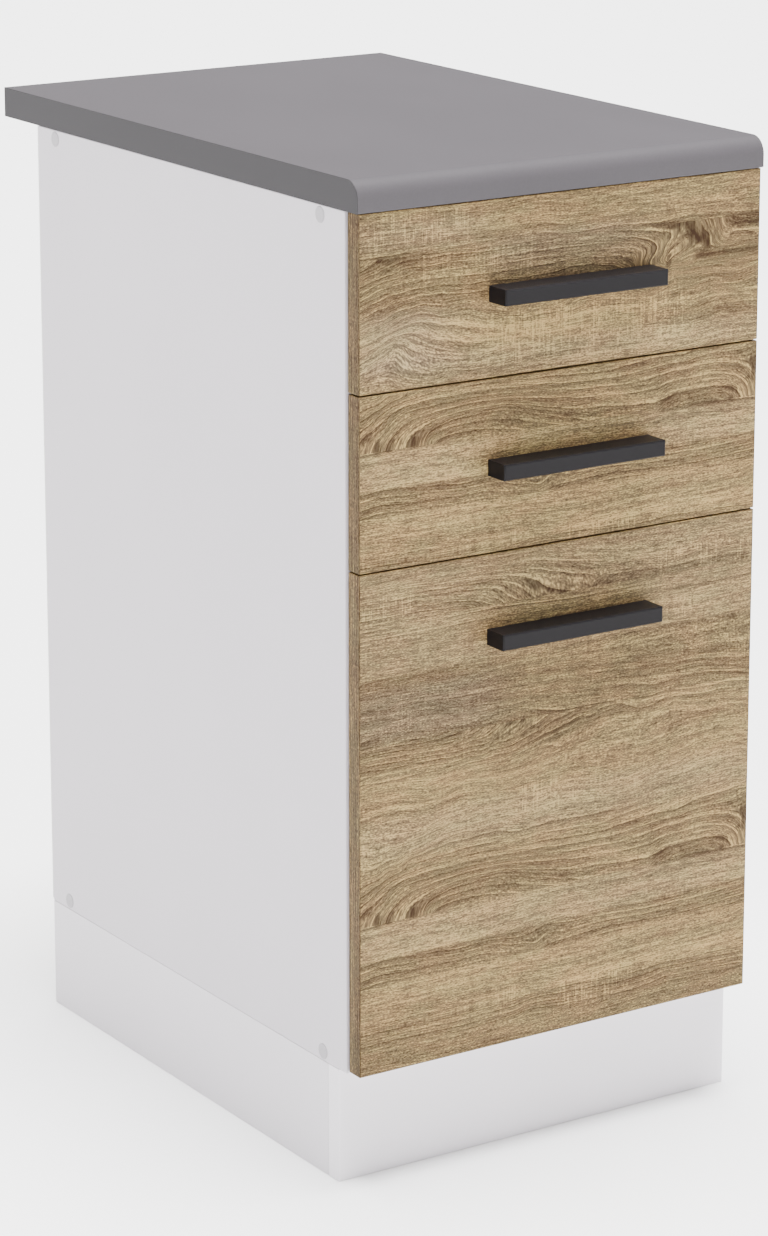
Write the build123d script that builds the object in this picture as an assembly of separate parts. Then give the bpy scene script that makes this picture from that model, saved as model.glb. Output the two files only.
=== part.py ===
from build123d import *
from dataclasses import dataclass
import os

# Kitchen base cabinet with three drawers, 400 mm wide.
#
# A white melamine carcass of 16 mm boards stands on a plinth frame of four boards and carries a grey
# worktop with a rounded front edge. Three drawer boxes with oak-decor fronts and black bar handles
# run on roller runners: a fixed pair of channels with a roller at the front end, and a pair of rails
# under each drawer box with a roller at the rear end.
#
# Millimetres. X runs to the right seen from the front, Y from the front to the back, Z up.
# The origin is on the floor, in the middle of the closed cabinet's box. The left half of what is
# symmetrical is modelled, and the right half is its mirror image.

# ---- driving dimensions -------------------------------------------------------------------------
CABINET_WIDTH = 400.0
CARCASS_HEIGHT = 720.0
CARCASS_DEPTH = 502.0
PLINTH_HEIGHT = 100.0
BOARD = 16.0
HARDBOARD = 3.0

WORKTOP_THICKNESS = 26.0
WORKTOP_DEPTH = 583.0
WORKTOP_NOSE = 1.0  # how far the worktop stands past the faces of the drawer fronts
WORKTOP_TOP_RADIUS = 15.0
WORKTOP_DRIP_RADIUS = 3.0

FRONT_THICKNESS = 16.0
FRONT_WIDTH = 396.0
FRONT_MARGIN = 1.5  # above the top front and below the bottom one
FRONT_GAP = 2.5
FRONT_STANDOFF = 1.5  # clearance between a closed front and the carcass
FRONT_EDGE_RADIUS = 2.0

HANDLE_LENGTH = 161.0
HANDLE_REACH = 24.0
HANDLE_HEIGHT = 13.5
HANDLE_SHIFT = 6.0  # to the right of the middle of the front
HANDLE_HOLES = 128.0
HANDLE_TOP_WALL = 3.0
HANDLE_LIP = 5.0
HANDLE_END_BLOCK = 26.0
HANDLE_EDGE_CHAMFER = 1.2
HANDLE_GRIP_RADIUS = 2.5

PLINTH_SETBACK = 29.5  # from the faces of the drawer fronts
RAIL_WIDTH = 72.0

RUNNER_LENGTH = 450.0
RUNNER_SETBACK = 3.0
RUNNER_SPACE = 12.5  # between the drawer box and the carcass side
SHEET = 1.2
ROLLER_RADIUS = 9.5
ROLLER_BORE = 2.6
ROLLER_HUB_RECESS = 4.4
ROLLER_RECESS_DEPTH = 1.3
ROLLER_RIM_BEVEL = ((1.6, 0.0), (0.3, 0.7))  # inwards from the rim and along the width
ROLLER_END_PLAY = 0.2  # between a roller's sides and what holds it on its rivet
RIVET_RADIUS = 2.5
RIVET_HEAD_RADIUS = 4.0
RIVET_HEAD = 0.9
RIVET_HEAD_BEVEL = (0.8, 0.3)
RIVET_SINK = 0.2  # how far its root is let into the sheet
ROLLING_GAP = 0.3
DRAWER_TRAVEL = 340.0
BOX_LENGTH = 450.0

FLOOR_GROOVE_RISE = 10.0
FLOOR_GROOVE_WIDTH = 3.2
FLOOR_GROOVE_DEPTH = 6.0
FLOOR_CLEARANCE = 0.5  # between the drawer floor's edge and the bottom of its groove
BOX_EDGE_CHAMFER = 0.6
JOINT_RISE = 30.0  # of the lower fixing at each end of a box side, above the box's lower edge
JOINT_DROP = 20.0  # of the upper one, below the box's upper edge

CAM_SETBACK = 24.0  # of a cam's middle, behind the drawer front's back
CAM_RADIUS = 7.5
CAM_DEPTH = 12.5
CAM_BOLT_RADIUS = 2.5
CAM_BOLT_BURIED = 11.0  # how far the bolt stands in the drawer front

# ---- turned pieces, as (radius, height) profiles ------------------------------------------------
CARCASS_SCREW = [(0, 0), (4.75, 0), (3.5, 2.5), (3.5, 11), (2.6, 12), (2.6, 47), (0, 50)]
COVER_CAP = [(0, 0), (6.75, 0), (6.75, 0.25), (6.0, 0.5), (0, 0.5)]
NAIL = [(0, -0.8), (1.6, -0.8), (1.6, 0), (0.7, 0), (0.7, 21), (0, 22)]
HANDLE_SCREW = [(0, -2.2), (3, -2.2), (4, -0.8), (4, 0), (2, 0), (2, 27), (0, 28)]


@dataclass
class Drawer:
    """One drawer: where its front sits, how high its box is, and where its handle goes."""

    name: str
    front_height: float
    box_rise: float  # from the front's lower edge to the box's lower edge
    box_height: float
    handle_drop: float  # from the front's upper edge to the handle's middle
    front_bottom: float = 0.0

    @property
    def front_top(self):
        return self.front_bottom + self.front_height

    @property
    def box_bottom(self):
        return self.front_bottom + self.box_rise

    @property
    def box_top(self):
        return self.box_bottom + self.box_height

    @property
    def floor_top(self):
        return self.box_bottom + FLOOR_GROOVE_RISE + FLOOR_GROOVE_WIDTH

    @property
    def joint_heights(self):
        """Heights of the two fixings that hold each end of a box side."""
        return self.box_bottom + JOINT_RISE, self.box_top - JOINT_DROP


DRAWERS = [
    Drawer("top", 143.0, 18.0, 95.0, 75.0),
    Drawer("middle", 143.0, 18.0, 95.0, 72.5),
    Drawer("bottom", 426.0, 30.0, 200.0, 69.0),
]

# ---- derived places -----------------------------------------------------------------------------
HALF = CABINET_WIDTH / 2
INNER = HALF - BOARD
FACE_Y = (HANDLE_REACH + WORKTOP_NOSE - WORKTOP_DEPTH) / 2  # faces of the drawer fronts
FRONT_BACK_Y = FACE_Y + FRONT_THICKNESS
CARCASS_FRONT_Y = FRONT_BACK_Y + FRONT_STANDOFF
CARCASS_BACK_Y = CARCASS_FRONT_Y + CARCASS_DEPTH
CARCASS_TOP = PLINTH_HEIGHT + CARCASS_HEIGHT
BOX_HALF = INNER - RUNNER_SPACE
BOX_INNER = BOX_HALF - BOARD
BOX_BACK_Y = FRONT_BACK_Y + BOX_LENGTH
SCREW_ROWS_Y = (FACE_Y + 53.5, FACE_Y + 488.5)  # where the carcass screws and their caps sit
SCREW_ROWS_Z = (PLINTH_HEIGHT + BOARD / 2, CARCASS_TOP - BOARD / 2)  # bottom panel, top rails
PLINTH_FRONT_Y = FACE_Y + PLINTH_SETBACK

upper_edge = CARCASS_TOP - FRONT_MARGIN
for drawer in DRAWERS:
    drawer.front_bottom = upper_edge - drawer.front_height
    upper_edge = drawer.front_bottom - FRONT_GAP

# Runner section: depths measured inwards from the carcass side, heights above the running floor.
BOX_BELOW_FLOOR = 2.0  # a box's lower edge is this much below the running floor
CHANNEL_WIDTH = 10.4
CHANNEL_INNER_HEIGHT = 19.8
CHANNEL_LIP = 2.2
RAIL_FLANGE_HEIGHT = 17.2  # underside of the rail's running flange
RAIL_FLANGE_REACH = RUNNER_SPACE - 1.9
RAIL_LIP = 2.3
RAIL_FOOT = 14.0
FRONT_ROLLER = (3.8, 9.8)
REAR_ROLLER = (3.2, 8.8)
RUNNER_FRONT_Y = CARCASS_FRONT_Y + RUNNER_SETBACK
RUNNER_BACK_Y = RUNNER_FRONT_Y + RUNNER_LENGTH
FRONT_AXLE_Y = RUNNER_FRONT_Y + ROLLER_RADIUS
FRONT_AXLE_RISE = RAIL_FLANGE_HEIGHT - ROLLING_GAP - ROLLER_RADIUS
REAR_AXLE_Y = BOX_BACK_Y - 11
REAR_AXLE_RISE = ROLLING_GAP + ROLLER_RADIUS
RUNNER_SCREWS_Y = [CARCASS_FRONT_Y + setback for setback in (37, 229, 421)]
RUNNER_SCREW_RISE = 9.0
RUNNER_SCREW_HOLE = 2.1
NOSE_LOW, NOSE_HIGH = 0.5, 16.0  # the sheet beside each roller is trimmed to this height
CHANNEL_ROOF_REACH = CHANNEL_WIDTH - 1.0
CHANNEL_NOSE_RADIUS = 6.0
ROLLER_NOTCH = 2.5  # from a front roller's rim to the end of the notch in the channel's floor
ROOF_NOTCH = 40.0  # how much further the roof is cut back, so that the rail can tilt in
STOP_DISTANCE = 7.5  # from a rear roller's axle to the stop in front of it, when fully open
FRONT_STOP_HEIGHT = 3.0
REAR_STOP_HEIGHT = 8.0
RAIL_SETBACK = 2.0  # of a rail's front end, behind the drawer front's back
RAIL_NOTCH = 2.0  # from a rear roller's rim to the end of the rail's flange
RAIL_TAIL_RADIUS = 8.0
RAIL_SCREWS_Y = (FRONT_BACK_Y + 60, BOX_BACK_Y - 90)
PAST = 20.0  # how far a cutting box reaches past the sheet


# ---- small helpers ------------------------------------------------------------------------------
def board(x, y, z):
    """A rectangular board between two corners, each axis given as a (low, high) pair."""
    spans = (x, y, z)
    size = [high - low for low, high in spans]
    middle = [(high + low) / 2 for low, high in spans]
    return Pos(*middle) * Box(*size)


def turned(profile, point, direction):
    """A solid of revolution from (radius, height) points, standing at point along direction."""
    face = make_face(Plane.XZ * Polyline(*profile, close=True))
    return Plane(origin=point, z_dir=direction) * revolve(face, Axis.Z)


def mirrored(part):
    """The same piece for the right-hand side."""
    return mirror(part, about=Plane.YZ)


def both_sides(parts):
    """The pieces of the left-hand side and their mirror images."""
    left = list(parts)
    return left + [mirrored(part) for part in left]


def cut(part, *tools):
    """part with every tool that reaches it taken out."""
    box = part.bounding_box()
    near = [tool for tool in tools if box.overlaps(tool.bounding_box())]
    return part - near if near else part


def countersunk_screw(point, direction, length, shank, head, head_depth):
    """A screw whose flat head ends flush at point."""
    profile = [(0, 0), (head, 0), (shank, head_depth), (shank, length - 3), (0, length)]
    return turned(profile, point, direction)


def pan_screw(point, direction, length=13.0, shank=1.75, head=3.4, head_height=1.6):
    """A small screw whose domed head bears on the surface at point."""
    profile = [
        (0, -head_height),
        (head * 0.6, -head_height),
        (head, -head_height * 0.4),
        (head, 0),
        (shank, 0),
        (shank, length - 3),
        (0, length),
    ]
    return turned(profile, point, direction)


# ---- fixings of the carcass ---------------------------------------------------------------------
def carcass_screws():
    """The stepped screws that hold the rails and the bottom panel between the sides."""
    return both_sides(
        turned(CARCASS_SCREW, (-HALF, y, z), (1, 0, 0)) for y in SCREW_ROWS_Y for z in SCREW_ROWS_Z
    )


def cover_caps():
    """Thin discs stuck over the screw heads."""
    return both_sides(
        turned(COVER_CAP, (-HALF, y, z), (-1, 0, 0)) for y in SCREW_ROWS_Y for z in SCREW_ROWS_Z
    )


def wooden_dowels():
    """Beech dowels beside the screws, two thirds in the rail or panel and one third in the side."""
    length, radius, bevel, into_side = 30.0, 4.0, 1.0, 10.0
    profile = [
        (0, 0),
        (radius - bevel, 0),
        (radius, bevel),
        (radius, length - bevel),
        (radius - bevel, length),
        (0, length),
    ]
    front_screws, rear_screws = SCREW_ROWS_Y
    panel_z, rail_z = SCREW_ROWS_Z
    from_rail_screw, from_panel_screw = 22.0, 97.0
    places = [(front_screws + from_rail_screw, rail_z), (rear_screws - from_rail_screw, rail_z)]
    places += [(front_screws + from_panel_screw, panel_z), (rear_screws - from_panel_screw, panel_z)]
    return both_sides(turned(profile, (-INNER - into_side, y, z), (1, 0, 0)) for y, z in places)


def worktop_screws():
    """Screws up through the middles of the top rails into the worktop."""
    rows = (CARCASS_FRONT_Y + RAIL_WIDTH / 2, CARCASS_BACK_Y - RAIL_WIDTH / 2)
    from_middle, under = 110.0, CARCASS_TOP - BOARD
    return [
        countersunk_screw((x, y, under), (0, 0, 1), length=35.0, shank=2.0, head=4.0, head_depth=2.2)
        for x in (-from_middle, from_middle)
        for y in rows
    ]


def back_panel_nails():
    """Small flat-headed nails through the hardboard into the rear edges of the carcass boards."""
    back = CARCASS_BACK_Y + HARDBOARD
    first_rise, pitch, count, from_middle = 40.0, 160.0, 5, 70.0
    places = [(-HALF + BOARD / 2, PLINTH_HEIGHT + first_rise + pitch * step) for step in range(count)]
    places += [(-from_middle, z) for z in SCREW_ROWS_Z]
    return both_sides(turned(NAIL, (x, back, z), (0, -1, 0)) for x, z in places)


def runner_screws():
    """Small screws that hold the fixed runners to the carcass sides."""
    return both_sides(
        pan_screw((-INNER + SHEET, y, running_floor(drawer) + RUNNER_SCREW_RISE), (-1, 0, 0))
        for drawer in DRAWERS
        for y in RUNNER_SCREWS_Y
    )


# ---- carcass ------------------------------------------------------------------------------------
def side_panel(fixings):
    """The left side: a full board drilled for its screws, dowels, runner screws and nails."""
    panel = board(
        (-HALF, -INNER), (CARCASS_FRONT_Y, CARCASS_BACK_Y), (PLINTH_HEIGHT, CARCASS_TOP)
    )
    return cut(panel, *fixings)


def bottom_panel(fixings):
    """The carcass floor, between the sides."""
    panel = board(
        (-INNER, INNER),
        (CARCASS_FRONT_Y, CARCASS_BACK_Y),
        (PLINTH_HEIGHT, PLINTH_HEIGHT + BOARD),
    )
    return cut(panel, *fixings)


def top_rail(y_low, fixings):
    """A flat rail between the tops of the sides, which the worktop is screwed to."""
    rail = board((-INNER, INNER), (y_low, y_low + RAIL_WIDTH), (CARCASS_TOP - BOARD, CARCASS_TOP))
    return cut(rail, *fixings)


def back_panel(nails):
    """The hardboard back, nailed over the rear edges and a millimetre short of them all round."""
    short = 1.0
    panel = board(
        (short - HALF, HALF - short),
        (CARCASS_BACK_Y, CARCASS_BACK_Y + HARDBOARD),
        (PLINTH_HEIGHT + short, CARCASS_TOP - short),
    )
    return cut(panel, *nails)


def worktop(screws):
    """The worktop: one section with a rounded nose, run across the full width."""
    front = FACE_Y - WORKTOP_NOSE
    back = front + WORKTOP_DEPTH
    top = CARCASS_TOP + WORKTOP_THICKNESS
    corners = [(front, CARCASS_TOP), (front, top), (back, top), (back, CARCASS_TOP)]
    section = make_face(Plane.YZ * Polyline(*corners, close=True))
    section = fillet(section.vertices().group_by(Axis.Y)[0].sort_by(Axis.Z)[-1], WORKTOP_TOP_RADIUS)
    section = fillet(section.vertices().group_by(Axis.Y)[0].sort_by(Axis.Z)[0], WORKTOP_DRIP_RADIUS)
    slab = extrude(section, HALF, both=True)
    return cut(slab, *screws)


# ---- plinth -------------------------------------------------------------------------------------
def plinth_front(screws):
    """The plinth's front board, whose ends show at the sides."""
    panel = board((-HALF, HALF), (PLINTH_FRONT_Y, PLINTH_FRONT_Y + BOARD), (0, PLINTH_HEIGHT))
    return cut(panel, *screws)


def plinth_rear(screws):
    """The plinth's rear board, between the side boards."""
    panel = board((-INNER, INNER), (CARCASS_BACK_Y - BOARD, CARCASS_BACK_Y), (0, PLINTH_HEIGHT))
    return cut(panel, *screws)


def plinth_side(screws):
    """The plinth's left board, butted behind the front board."""
    panel = board((-HALF, -INNER), (PLINTH_FRONT_Y + BOARD, CARCASS_BACK_Y), (0, PLINTH_HEIGHT))
    return cut(panel, *screws)


BLOCK_SIZE = 38.0
BLOCK_HEIGHT = 34.0
BLOCK_WALL = 3.0
BLOCK_NOSE = 9.0  # width of the top plate's ends, between which it is cut off slantwise
BLOCK_TOP_SCREW = (12.0, 21.0)


def corner_block():
    """A moulded corner block at its own corner: two walls along +X and +Y under a top plate."""
    corners = [
        (0, 0),
        (BLOCK_SIZE, 0),
        (BLOCK_SIZE, BLOCK_NOSE),
        (BLOCK_NOSE, BLOCK_SIZE),
        (0, BLOCK_SIZE),
    ]
    outline = make_face(Polyline(*corners, close=True))
    pocket = Pos(0, 0, -BLOCK_WALL) * extrude(offset(outline, -BLOCK_WALL), -BLOCK_HEIGHT)
    free = (BLOCK_NOSE - 1, BLOCK_SIZE + 1)
    open_side = board(free, free, (-BLOCK_HEIGHT - 1, -BLOCK_WALL))
    return extrude(outline, -BLOCK_HEIGHT) - pocket - open_side


def corner_block_screws():
    """The three screws of a corner block, in its own frame: up, and into each of the boards."""
    middle, low = BLOCK_SIZE * 0.6, -BLOCK_HEIGHT * 0.55
    return [
        pan_screw((*BLOCK_TOP_SCREW, -BLOCK_WALL), (0, 0, 1)),
        pan_screw((middle, BLOCK_WALL, low), (0, -1, 0)),
        pan_screw((BLOCK_WALL, middle, low), (-1, 0, 0)),
    ]


def plinth_corners(parts):
    """parts of the corner block's frame, at the four inner corners of the plinth."""
    front = Pos(-INNER, PLINTH_FRONT_Y + BOARD, PLINTH_HEIGHT)
    rear = Pos(-INNER, CARCASS_BACK_Y - BOARD, PLINTH_HEIGHT)
    left = [front * part for part in parts]
    left += [rear * mirror(part, about=Plane.XZ) for part in parts]
    return both_sides(left)


# ---- runners ------------------------------------------------------------------------------------
def running_floor(drawer):
    """Height of the surface that a drawer's rear rollers run on."""
    return drawer.box_bottom + BOX_BELOW_FLOOR


def bent_sheet(points, y_low, y_high):
    """A strip of sheet bent along (depth, height) points, running from y_low to y_high."""
    section = Plane.XZ * trace(FilletPolyline(*points, radius=SHEET * 0.75), SHEET)
    strip = extrude(section, y_high - y_low, dir=(0, 1, 0))
    return Pos(0, y_low, 0) * strip


def runner_place(drawer):
    """The runner section's frame: on the left side panel, level with the running floor."""
    return Pos(-INNER, 0, running_floor(drawer))


def cabinet_runner(drawer):
    """The fixed channel: bent sheet, notched for its roller, with a rivet and two roller stops."""
    half = SHEET / 2
    section = [
        (CHANNEL_WIDTH - half, CHANNEL_LIP),
        (CHANNEL_WIDTH - half, -half),
        (half, -half),
        (half, CHANNEL_INNER_HEIGHT + half),
        (CHANNEL_ROOF_REACH, CHANNEL_INNER_HEIGHT + half),
    ]
    channel = bent_sheet(section, RUNNER_FRONT_Y, RUNNER_BACK_Y)
    floor_notch = (RUNNER_FRONT_Y - 1, FRONT_AXLE_Y + ROLLER_RADIUS + ROLLER_NOTCH)
    roof_notch = (RUNNER_FRONT_Y - 1, floor_notch[1] + ROOF_NOTCH)
    inside, across = (SHEET, SHEET + PAST), (-1, SHEET + PAST)
    channel -= board(inside, floor_notch, (-PAST, CHANNEL_LIP + 1))
    channel -= board(across, floor_notch, (-PAST, NOSE_LOW))
    channel -= board(inside, roof_notch, (NOSE_HIGH, NOSE_HIGH + PAST))
    channel -= board(across, floor_notch, (NOSE_HIGH, NOSE_HIGH + PAST))
    nose = channel.edges().filter_by(Axis.X).group_by(Axis.Y)[0]
    channel = fillet(nose, CHANNEL_NOSE_RADIUS)
    hole = [(0, 0), (RUNNER_SCREW_HOLE, 0), (RUNNER_SCREW_HOLE, 3 * SHEET), (0, 3 * SHEET)]
    holes = [turned(hole, (-SHEET, y, RUNNER_SCREW_RISE), (1, 0, 0)) for y in RUNNER_SCREWS_Y]
    channel = cut(channel, *holes)
    between_walls = (SHEET, CHANNEL_WIDTH - 1.5 * SHEET)
    stop_y = REAR_AXLE_Y - DRAWER_TRAVEL - STOP_DISTANCE
    front_stop = board(between_walls, (stop_y - SHEET, stop_y), (0, FRONT_STOP_HEIGHT))
    rear_stop = board(between_walls, (RUNNER_BACK_Y - SHEET, RUNNER_BACK_Y), (0, REAR_STOP_HEIGHT))
    axle = rivet(SHEET, FRONT_ROLLER, FRONT_AXLE_Y, FRONT_AXLE_RISE)
    return runner_place(drawer) * (channel + front_stop + rear_stop + axle)


def drawer_rail(drawer):
    """The moving rail: a foot under the box side, a web, and a running flange with a lip."""
    half = SHEET / 2
    web = RUNNER_SPACE - half
    foot = -BOX_BELOW_FLOOR - half
    flange = RAIL_FLANGE_HEIGHT + half
    tip = RUNNER_SPACE - RAIL_FLANGE_REACH + half
    section = [
        (web + RAIL_FOOT, foot),
        (web, foot),
        (web, flange),
        (tip, flange),
        (tip, flange - RAIL_LIP),
    ]
    rail = bent_sheet(section, FRONT_BACK_Y + RAIL_SETBACK, BOX_BACK_Y)
    notch = (REAR_AXLE_Y - ROLLER_RADIUS - RAIL_NOTCH, BOX_BACK_Y + 1)
    rail -= board((0, RUNNER_SPACE - SHEET), notch, (-PAST, 2 * PAST))
    rail -= board((0, RUNNER_SPACE + 1), notch, (NOSE_HIGH, NOSE_HIGH + PAST))
    tail = rail.edges().filter_by(Axis.X).group_by(Axis.Y)[-1].sort_by(Axis.Z)[-1]
    rail = fillet(tail, RAIL_TAIL_RADIUS)
    rail = cut(rail, *rail_screws(drawer, place=Pos(0, 0, 0)))
    axle = rivet(RUNNER_SPACE - SHEET, REAR_ROLLER, REAR_AXLE_Y, REAR_AXLE_RISE)
    return runner_place(drawer) * (rail + axle)


def rail_screws(drawer, place=None):
    """Two small screws up through the rail's foot into the box side."""
    place = place or runner_place(drawer)
    x = RUNNER_SPACE + BOARD / 2
    foot = -BOX_BELOW_FLOOR - SHEET
    return [place * pan_screw((x, y, foot), (0, 0, 1)) for y in RAIL_SCREWS_Y]


def rivet(root, roller, y, rise):
    """The pin a roller turns on, from the sheet at root to a head sunk in the roller's far side."""
    near, far = sorted(roller, key=lambda side: abs(side - root))
    step = 1 if far > root else -1
    collar = abs(near - root) - ROLLER_END_PLAY
    head_face = abs(far - root) - ROLLER_END_PLAY
    profile = [
        (0, -RIVET_SINK),
        (RIVET_HEAD_RADIUS, -RIVET_SINK),
        (RIVET_HEAD_RADIUS, collar),
        (RIVET_RADIUS, collar),
        (RIVET_RADIUS, head_face - RIVET_HEAD),
        (RIVET_HEAD_RADIUS, head_face - RIVET_HEAD),
        (RIVET_HEAD_RADIUS, head_face - RIVET_HEAD_BEVEL[1]),
        (RIVET_HEAD_RADIUS - RIVET_HEAD_BEVEL[0], head_face),
        (0, head_face),
    ]
    return turned(profile, (root, y, rise), (step, 0, 0))


def roller(span, y, rise, recess_inside):
    """A moulded roller with a crowned rim, a running bore and a recess for the rivet's head."""
    width = span[1] - span[0]
    bevel = [(ROLLER_RADIUS - inwards, along) for inwards, along in ROLLER_RIM_BEVEL]
    profile = [
        (ROLLER_BORE, 0),
        *bevel,
        (ROLLER_RADIUS, width * 0.3),
        (ROLLER_RADIUS, width * 0.7),
        *[(radius, width - along) for radius, along in reversed(bevel)],
        (ROLLER_HUB_RECESS, width),
        (ROLLER_HUB_RECESS, width - ROLLER_RECESS_DEPTH),
        (ROLLER_BORE, width - ROLLER_RECESS_DEPTH),
    ]
    start, step = (span[0], 1) if recess_inside else (span[1], -1)
    return turned(profile, (start, y, rise), (step, 0, 0))


def front_rollers(drawer):
    """The two rollers at the front ends of a drawer's fixed channels."""
    wheel = roller(FRONT_ROLLER, FRONT_AXLE_Y, FRONT_AXLE_RISE, recess_inside=True)
    return both_sides([runner_place(drawer) * wheel])


def rear_rollers(drawer):
    """The two rollers at the rear ends of a drawer's rails."""
    wheel = roller(REAR_ROLLER, REAR_AXLE_Y, REAR_AXLE_RISE, recess_inside=False)
    return both_sides([runner_place(drawer) * wheel])


# ---- drawers ------------------------------------------------------------------------------------
def handle_x():
    """Left and right ends of a handle."""
    return HANDLE_SHIFT - HANDLE_LENGTH / 2, HANDLE_SHIFT + HANDLE_LENGTH / 2


def handle(drawer, screws):
    """A bar handle open underneath: top wall, front lip and two solid end blocks."""
    left, right = handle_x()
    middle = drawer.front_top - drawer.handle_drop
    top, low = middle + HANDLE_HEIGHT / 2, middle - HANDLE_HEIGHT / 2
    front = FACE_Y - HANDLE_REACH
    bar = board((left, right), (front, FACE_Y), (low, top))
    bar = chamfer(bar.faces().sort_by(Axis.Y)[0].edges(), HANDLE_EDGE_CHAMFER)
    grip = board(
        (left + HANDLE_END_BLOCK, right - HANDLE_END_BLOCK),
        (front + HANDLE_LIP, FACE_Y + 1),
        (low - 1, top - HANDLE_TOP_WALL),
    )
    inner_corner = grip.edges().filter_by(Axis.X).group_by(Axis.Z)[-1].sort_by(Axis.Y)[0]
    grip = fillet(inner_corner, HANDLE_GRIP_RADIUS)
    return cut(bar - grip, *screws)


def handle_screws(drawer):
    """Two machine screws from inside the front into the handle's end blocks."""
    z = drawer.front_top - drawer.handle_drop
    return [
        turned(HANDLE_SCREW, (HANDLE_SHIFT + side * HANDLE_HOLES / 2, FRONT_BACK_Y, z), (0, -1, 0))
        for side in (-1, 1)
    ]


def bolt_place(z):
    """Where the bolt at height z of the left box side leaves the drawer front's back."""
    return (-BOX_HALF + BOARD / 2, FRONT_BACK_Y, z)


def cam_place(z):
    """The middle of the cam at height z, on the inner face of the left box side."""
    return (-BOX_INNER, FRONT_BACK_Y + CAM_SETBACK, z)


def cam_drum(z):
    """The plain cylinder of the cam at height z, sunk into the left box side."""
    profile = [(0, 0), (CAM_RADIUS, 0), (CAM_RADIUS, CAM_DEPTH), (0, CAM_DEPTH)]
    return turned(profile, cam_place(z), (-1, 0, 0))


def cam_fittings(drawer):
    """Per box side: two bolts with collar and ball in the front, and the cams that hold them."""
    collar, collar_length = 3.5, 2.0
    ball, ball_behind, ball_ahead = 3.2, 3.0, 1.0
    mouth_radius, mouth_depth = 3.6, 2.5  # the hollow in a cam that the bolt's ball sits in
    slot_length, slot_width, slot_depth = 7.0, 1.4, 1.5  # the crossed screwdriver slots
    parts = []
    for z in drawer.joint_heights:
        profile = [
            (0, -CAM_BOLT_BURIED),
            (CAM_BOLT_RADIUS, -CAM_BOLT_BURIED),
            (CAM_BOLT_RADIUS, 0),
            (collar, 0),
            (collar, collar_length),
            (CAM_BOLT_RADIUS, collar_length),
            (CAM_BOLT_RADIUS, CAM_SETBACK - ball_behind - 0.5),
            (ball, CAM_SETBACK - ball_behind),
            (ball, CAM_SETBACK + ball_ahead),
            (0, CAM_SETBACK + 2 * ball_ahead),
        ]
        bolt = turned(profile, bolt_place(z), (0, 1, 0))
        hollow = [
            (0, -CAM_RADIUS - 1),
            (mouth_radius, -CAM_RADIUS - 1),
            (mouth_radius, mouth_depth),
            (0, mouth_depth),
        ]
        mouth = Pos(0, CAM_SETBACK, 0) * turned(hollow, bolt_place(z), (0, 1, 0))
        upright = Box(2 * slot_depth, slot_width, slot_length)
        level = Box(2 * slot_depth, slot_length, slot_width)
        parts += [bolt, cam_drum(z) - mouth - Pos(*cam_place(z)) * (upright + level)]
    return both_sides(parts)


def box_screws(drawer):
    """Four screws through the box sides into the ends of the box back."""
    y = BOX_BACK_Y - BOARD / 2
    return both_sides(
        countersunk_screw((-BOX_HALF, y, z), (1, 0, 0), length=42.0, shank=2.2, head=4.2, head_depth=2.4)
        for z in drawer.joint_heights
    )


def cam_pockets(drawer):
    """Drillings in the left box side for the cams and for the bolts that reach them."""
    radius = 4.0
    bore = [(0, 0), (radius, 0), (radius, CAM_SETBACK), (0, CAM_SETBACK)]
    pockets = []
    for z in drawer.joint_heights:
        pockets += [cam_drum(z), turned(bore, bolt_place(z), (0, 1, 0))]
    return pockets


def floor_groove(drawer):
    """The slot round the box that takes the drawer floor."""
    reach = BOX_INNER + FLOOR_GROOVE_DEPTH
    low = drawer.box_bottom + FLOOR_GROOVE_RISE
    return board(
        (-reach, reach),
        (FRONT_BACK_Y - FLOOR_GROOVE_DEPTH, BOX_BACK_Y + 1),
        (low, low + FLOOR_GROOVE_WIDTH),
    )


def drawer_front(drawer, fixings):
    """The decorative front with eased edges, grooved at the back for the drawer floor."""
    half = FRONT_WIDTH / 2
    panel = board((-half, half), (FACE_Y, FRONT_BACK_Y), (drawer.front_bottom, drawer.front_top))
    back_edges = panel.faces().sort_by(Axis.Y)[-1].edges()
    panel = fillet(panel.edges() - back_edges, FRONT_EDGE_RADIUS)
    return cut(panel, floor_groove(drawer), *fixings)


def box_side(drawer, fixings):
    """The left side of the drawer box."""
    panel = board(
        (-BOX_HALF, -BOX_INNER), (FRONT_BACK_Y, BOX_BACK_Y), (drawer.box_bottom, drawer.box_top)
    )
    panel = chamfer(panel.edges().filter_by(Axis.Y), BOX_EDGE_CHAMFER)
    return cut(panel, floor_groove(drawer), *cam_pockets(drawer), *fixings)


def box_back(drawer, fixings):
    """The back of the drawer box, standing on the drawer floor between the sides."""
    panel = board(
        (-BOX_INNER, BOX_INNER), (BOX_BACK_Y - BOARD, BOX_BACK_Y), (drawer.floor_top, drawer.box_top)
    )
    return cut(panel, *fixings)


def box_floor(drawer):
    """The hardboard floor, slid into the grooves from behind."""
    reach = BOX_INNER + FLOOR_GROOVE_DEPTH - FLOOR_CLEARANCE
    return board(
        (-reach, reach),
        (FRONT_BACK_Y - FLOOR_GROOVE_DEPTH + FLOOR_CLEARANCE, BOX_BACK_Y),
        (drawer.floor_top - HARDBOARD, drawer.floor_top),
    )


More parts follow.
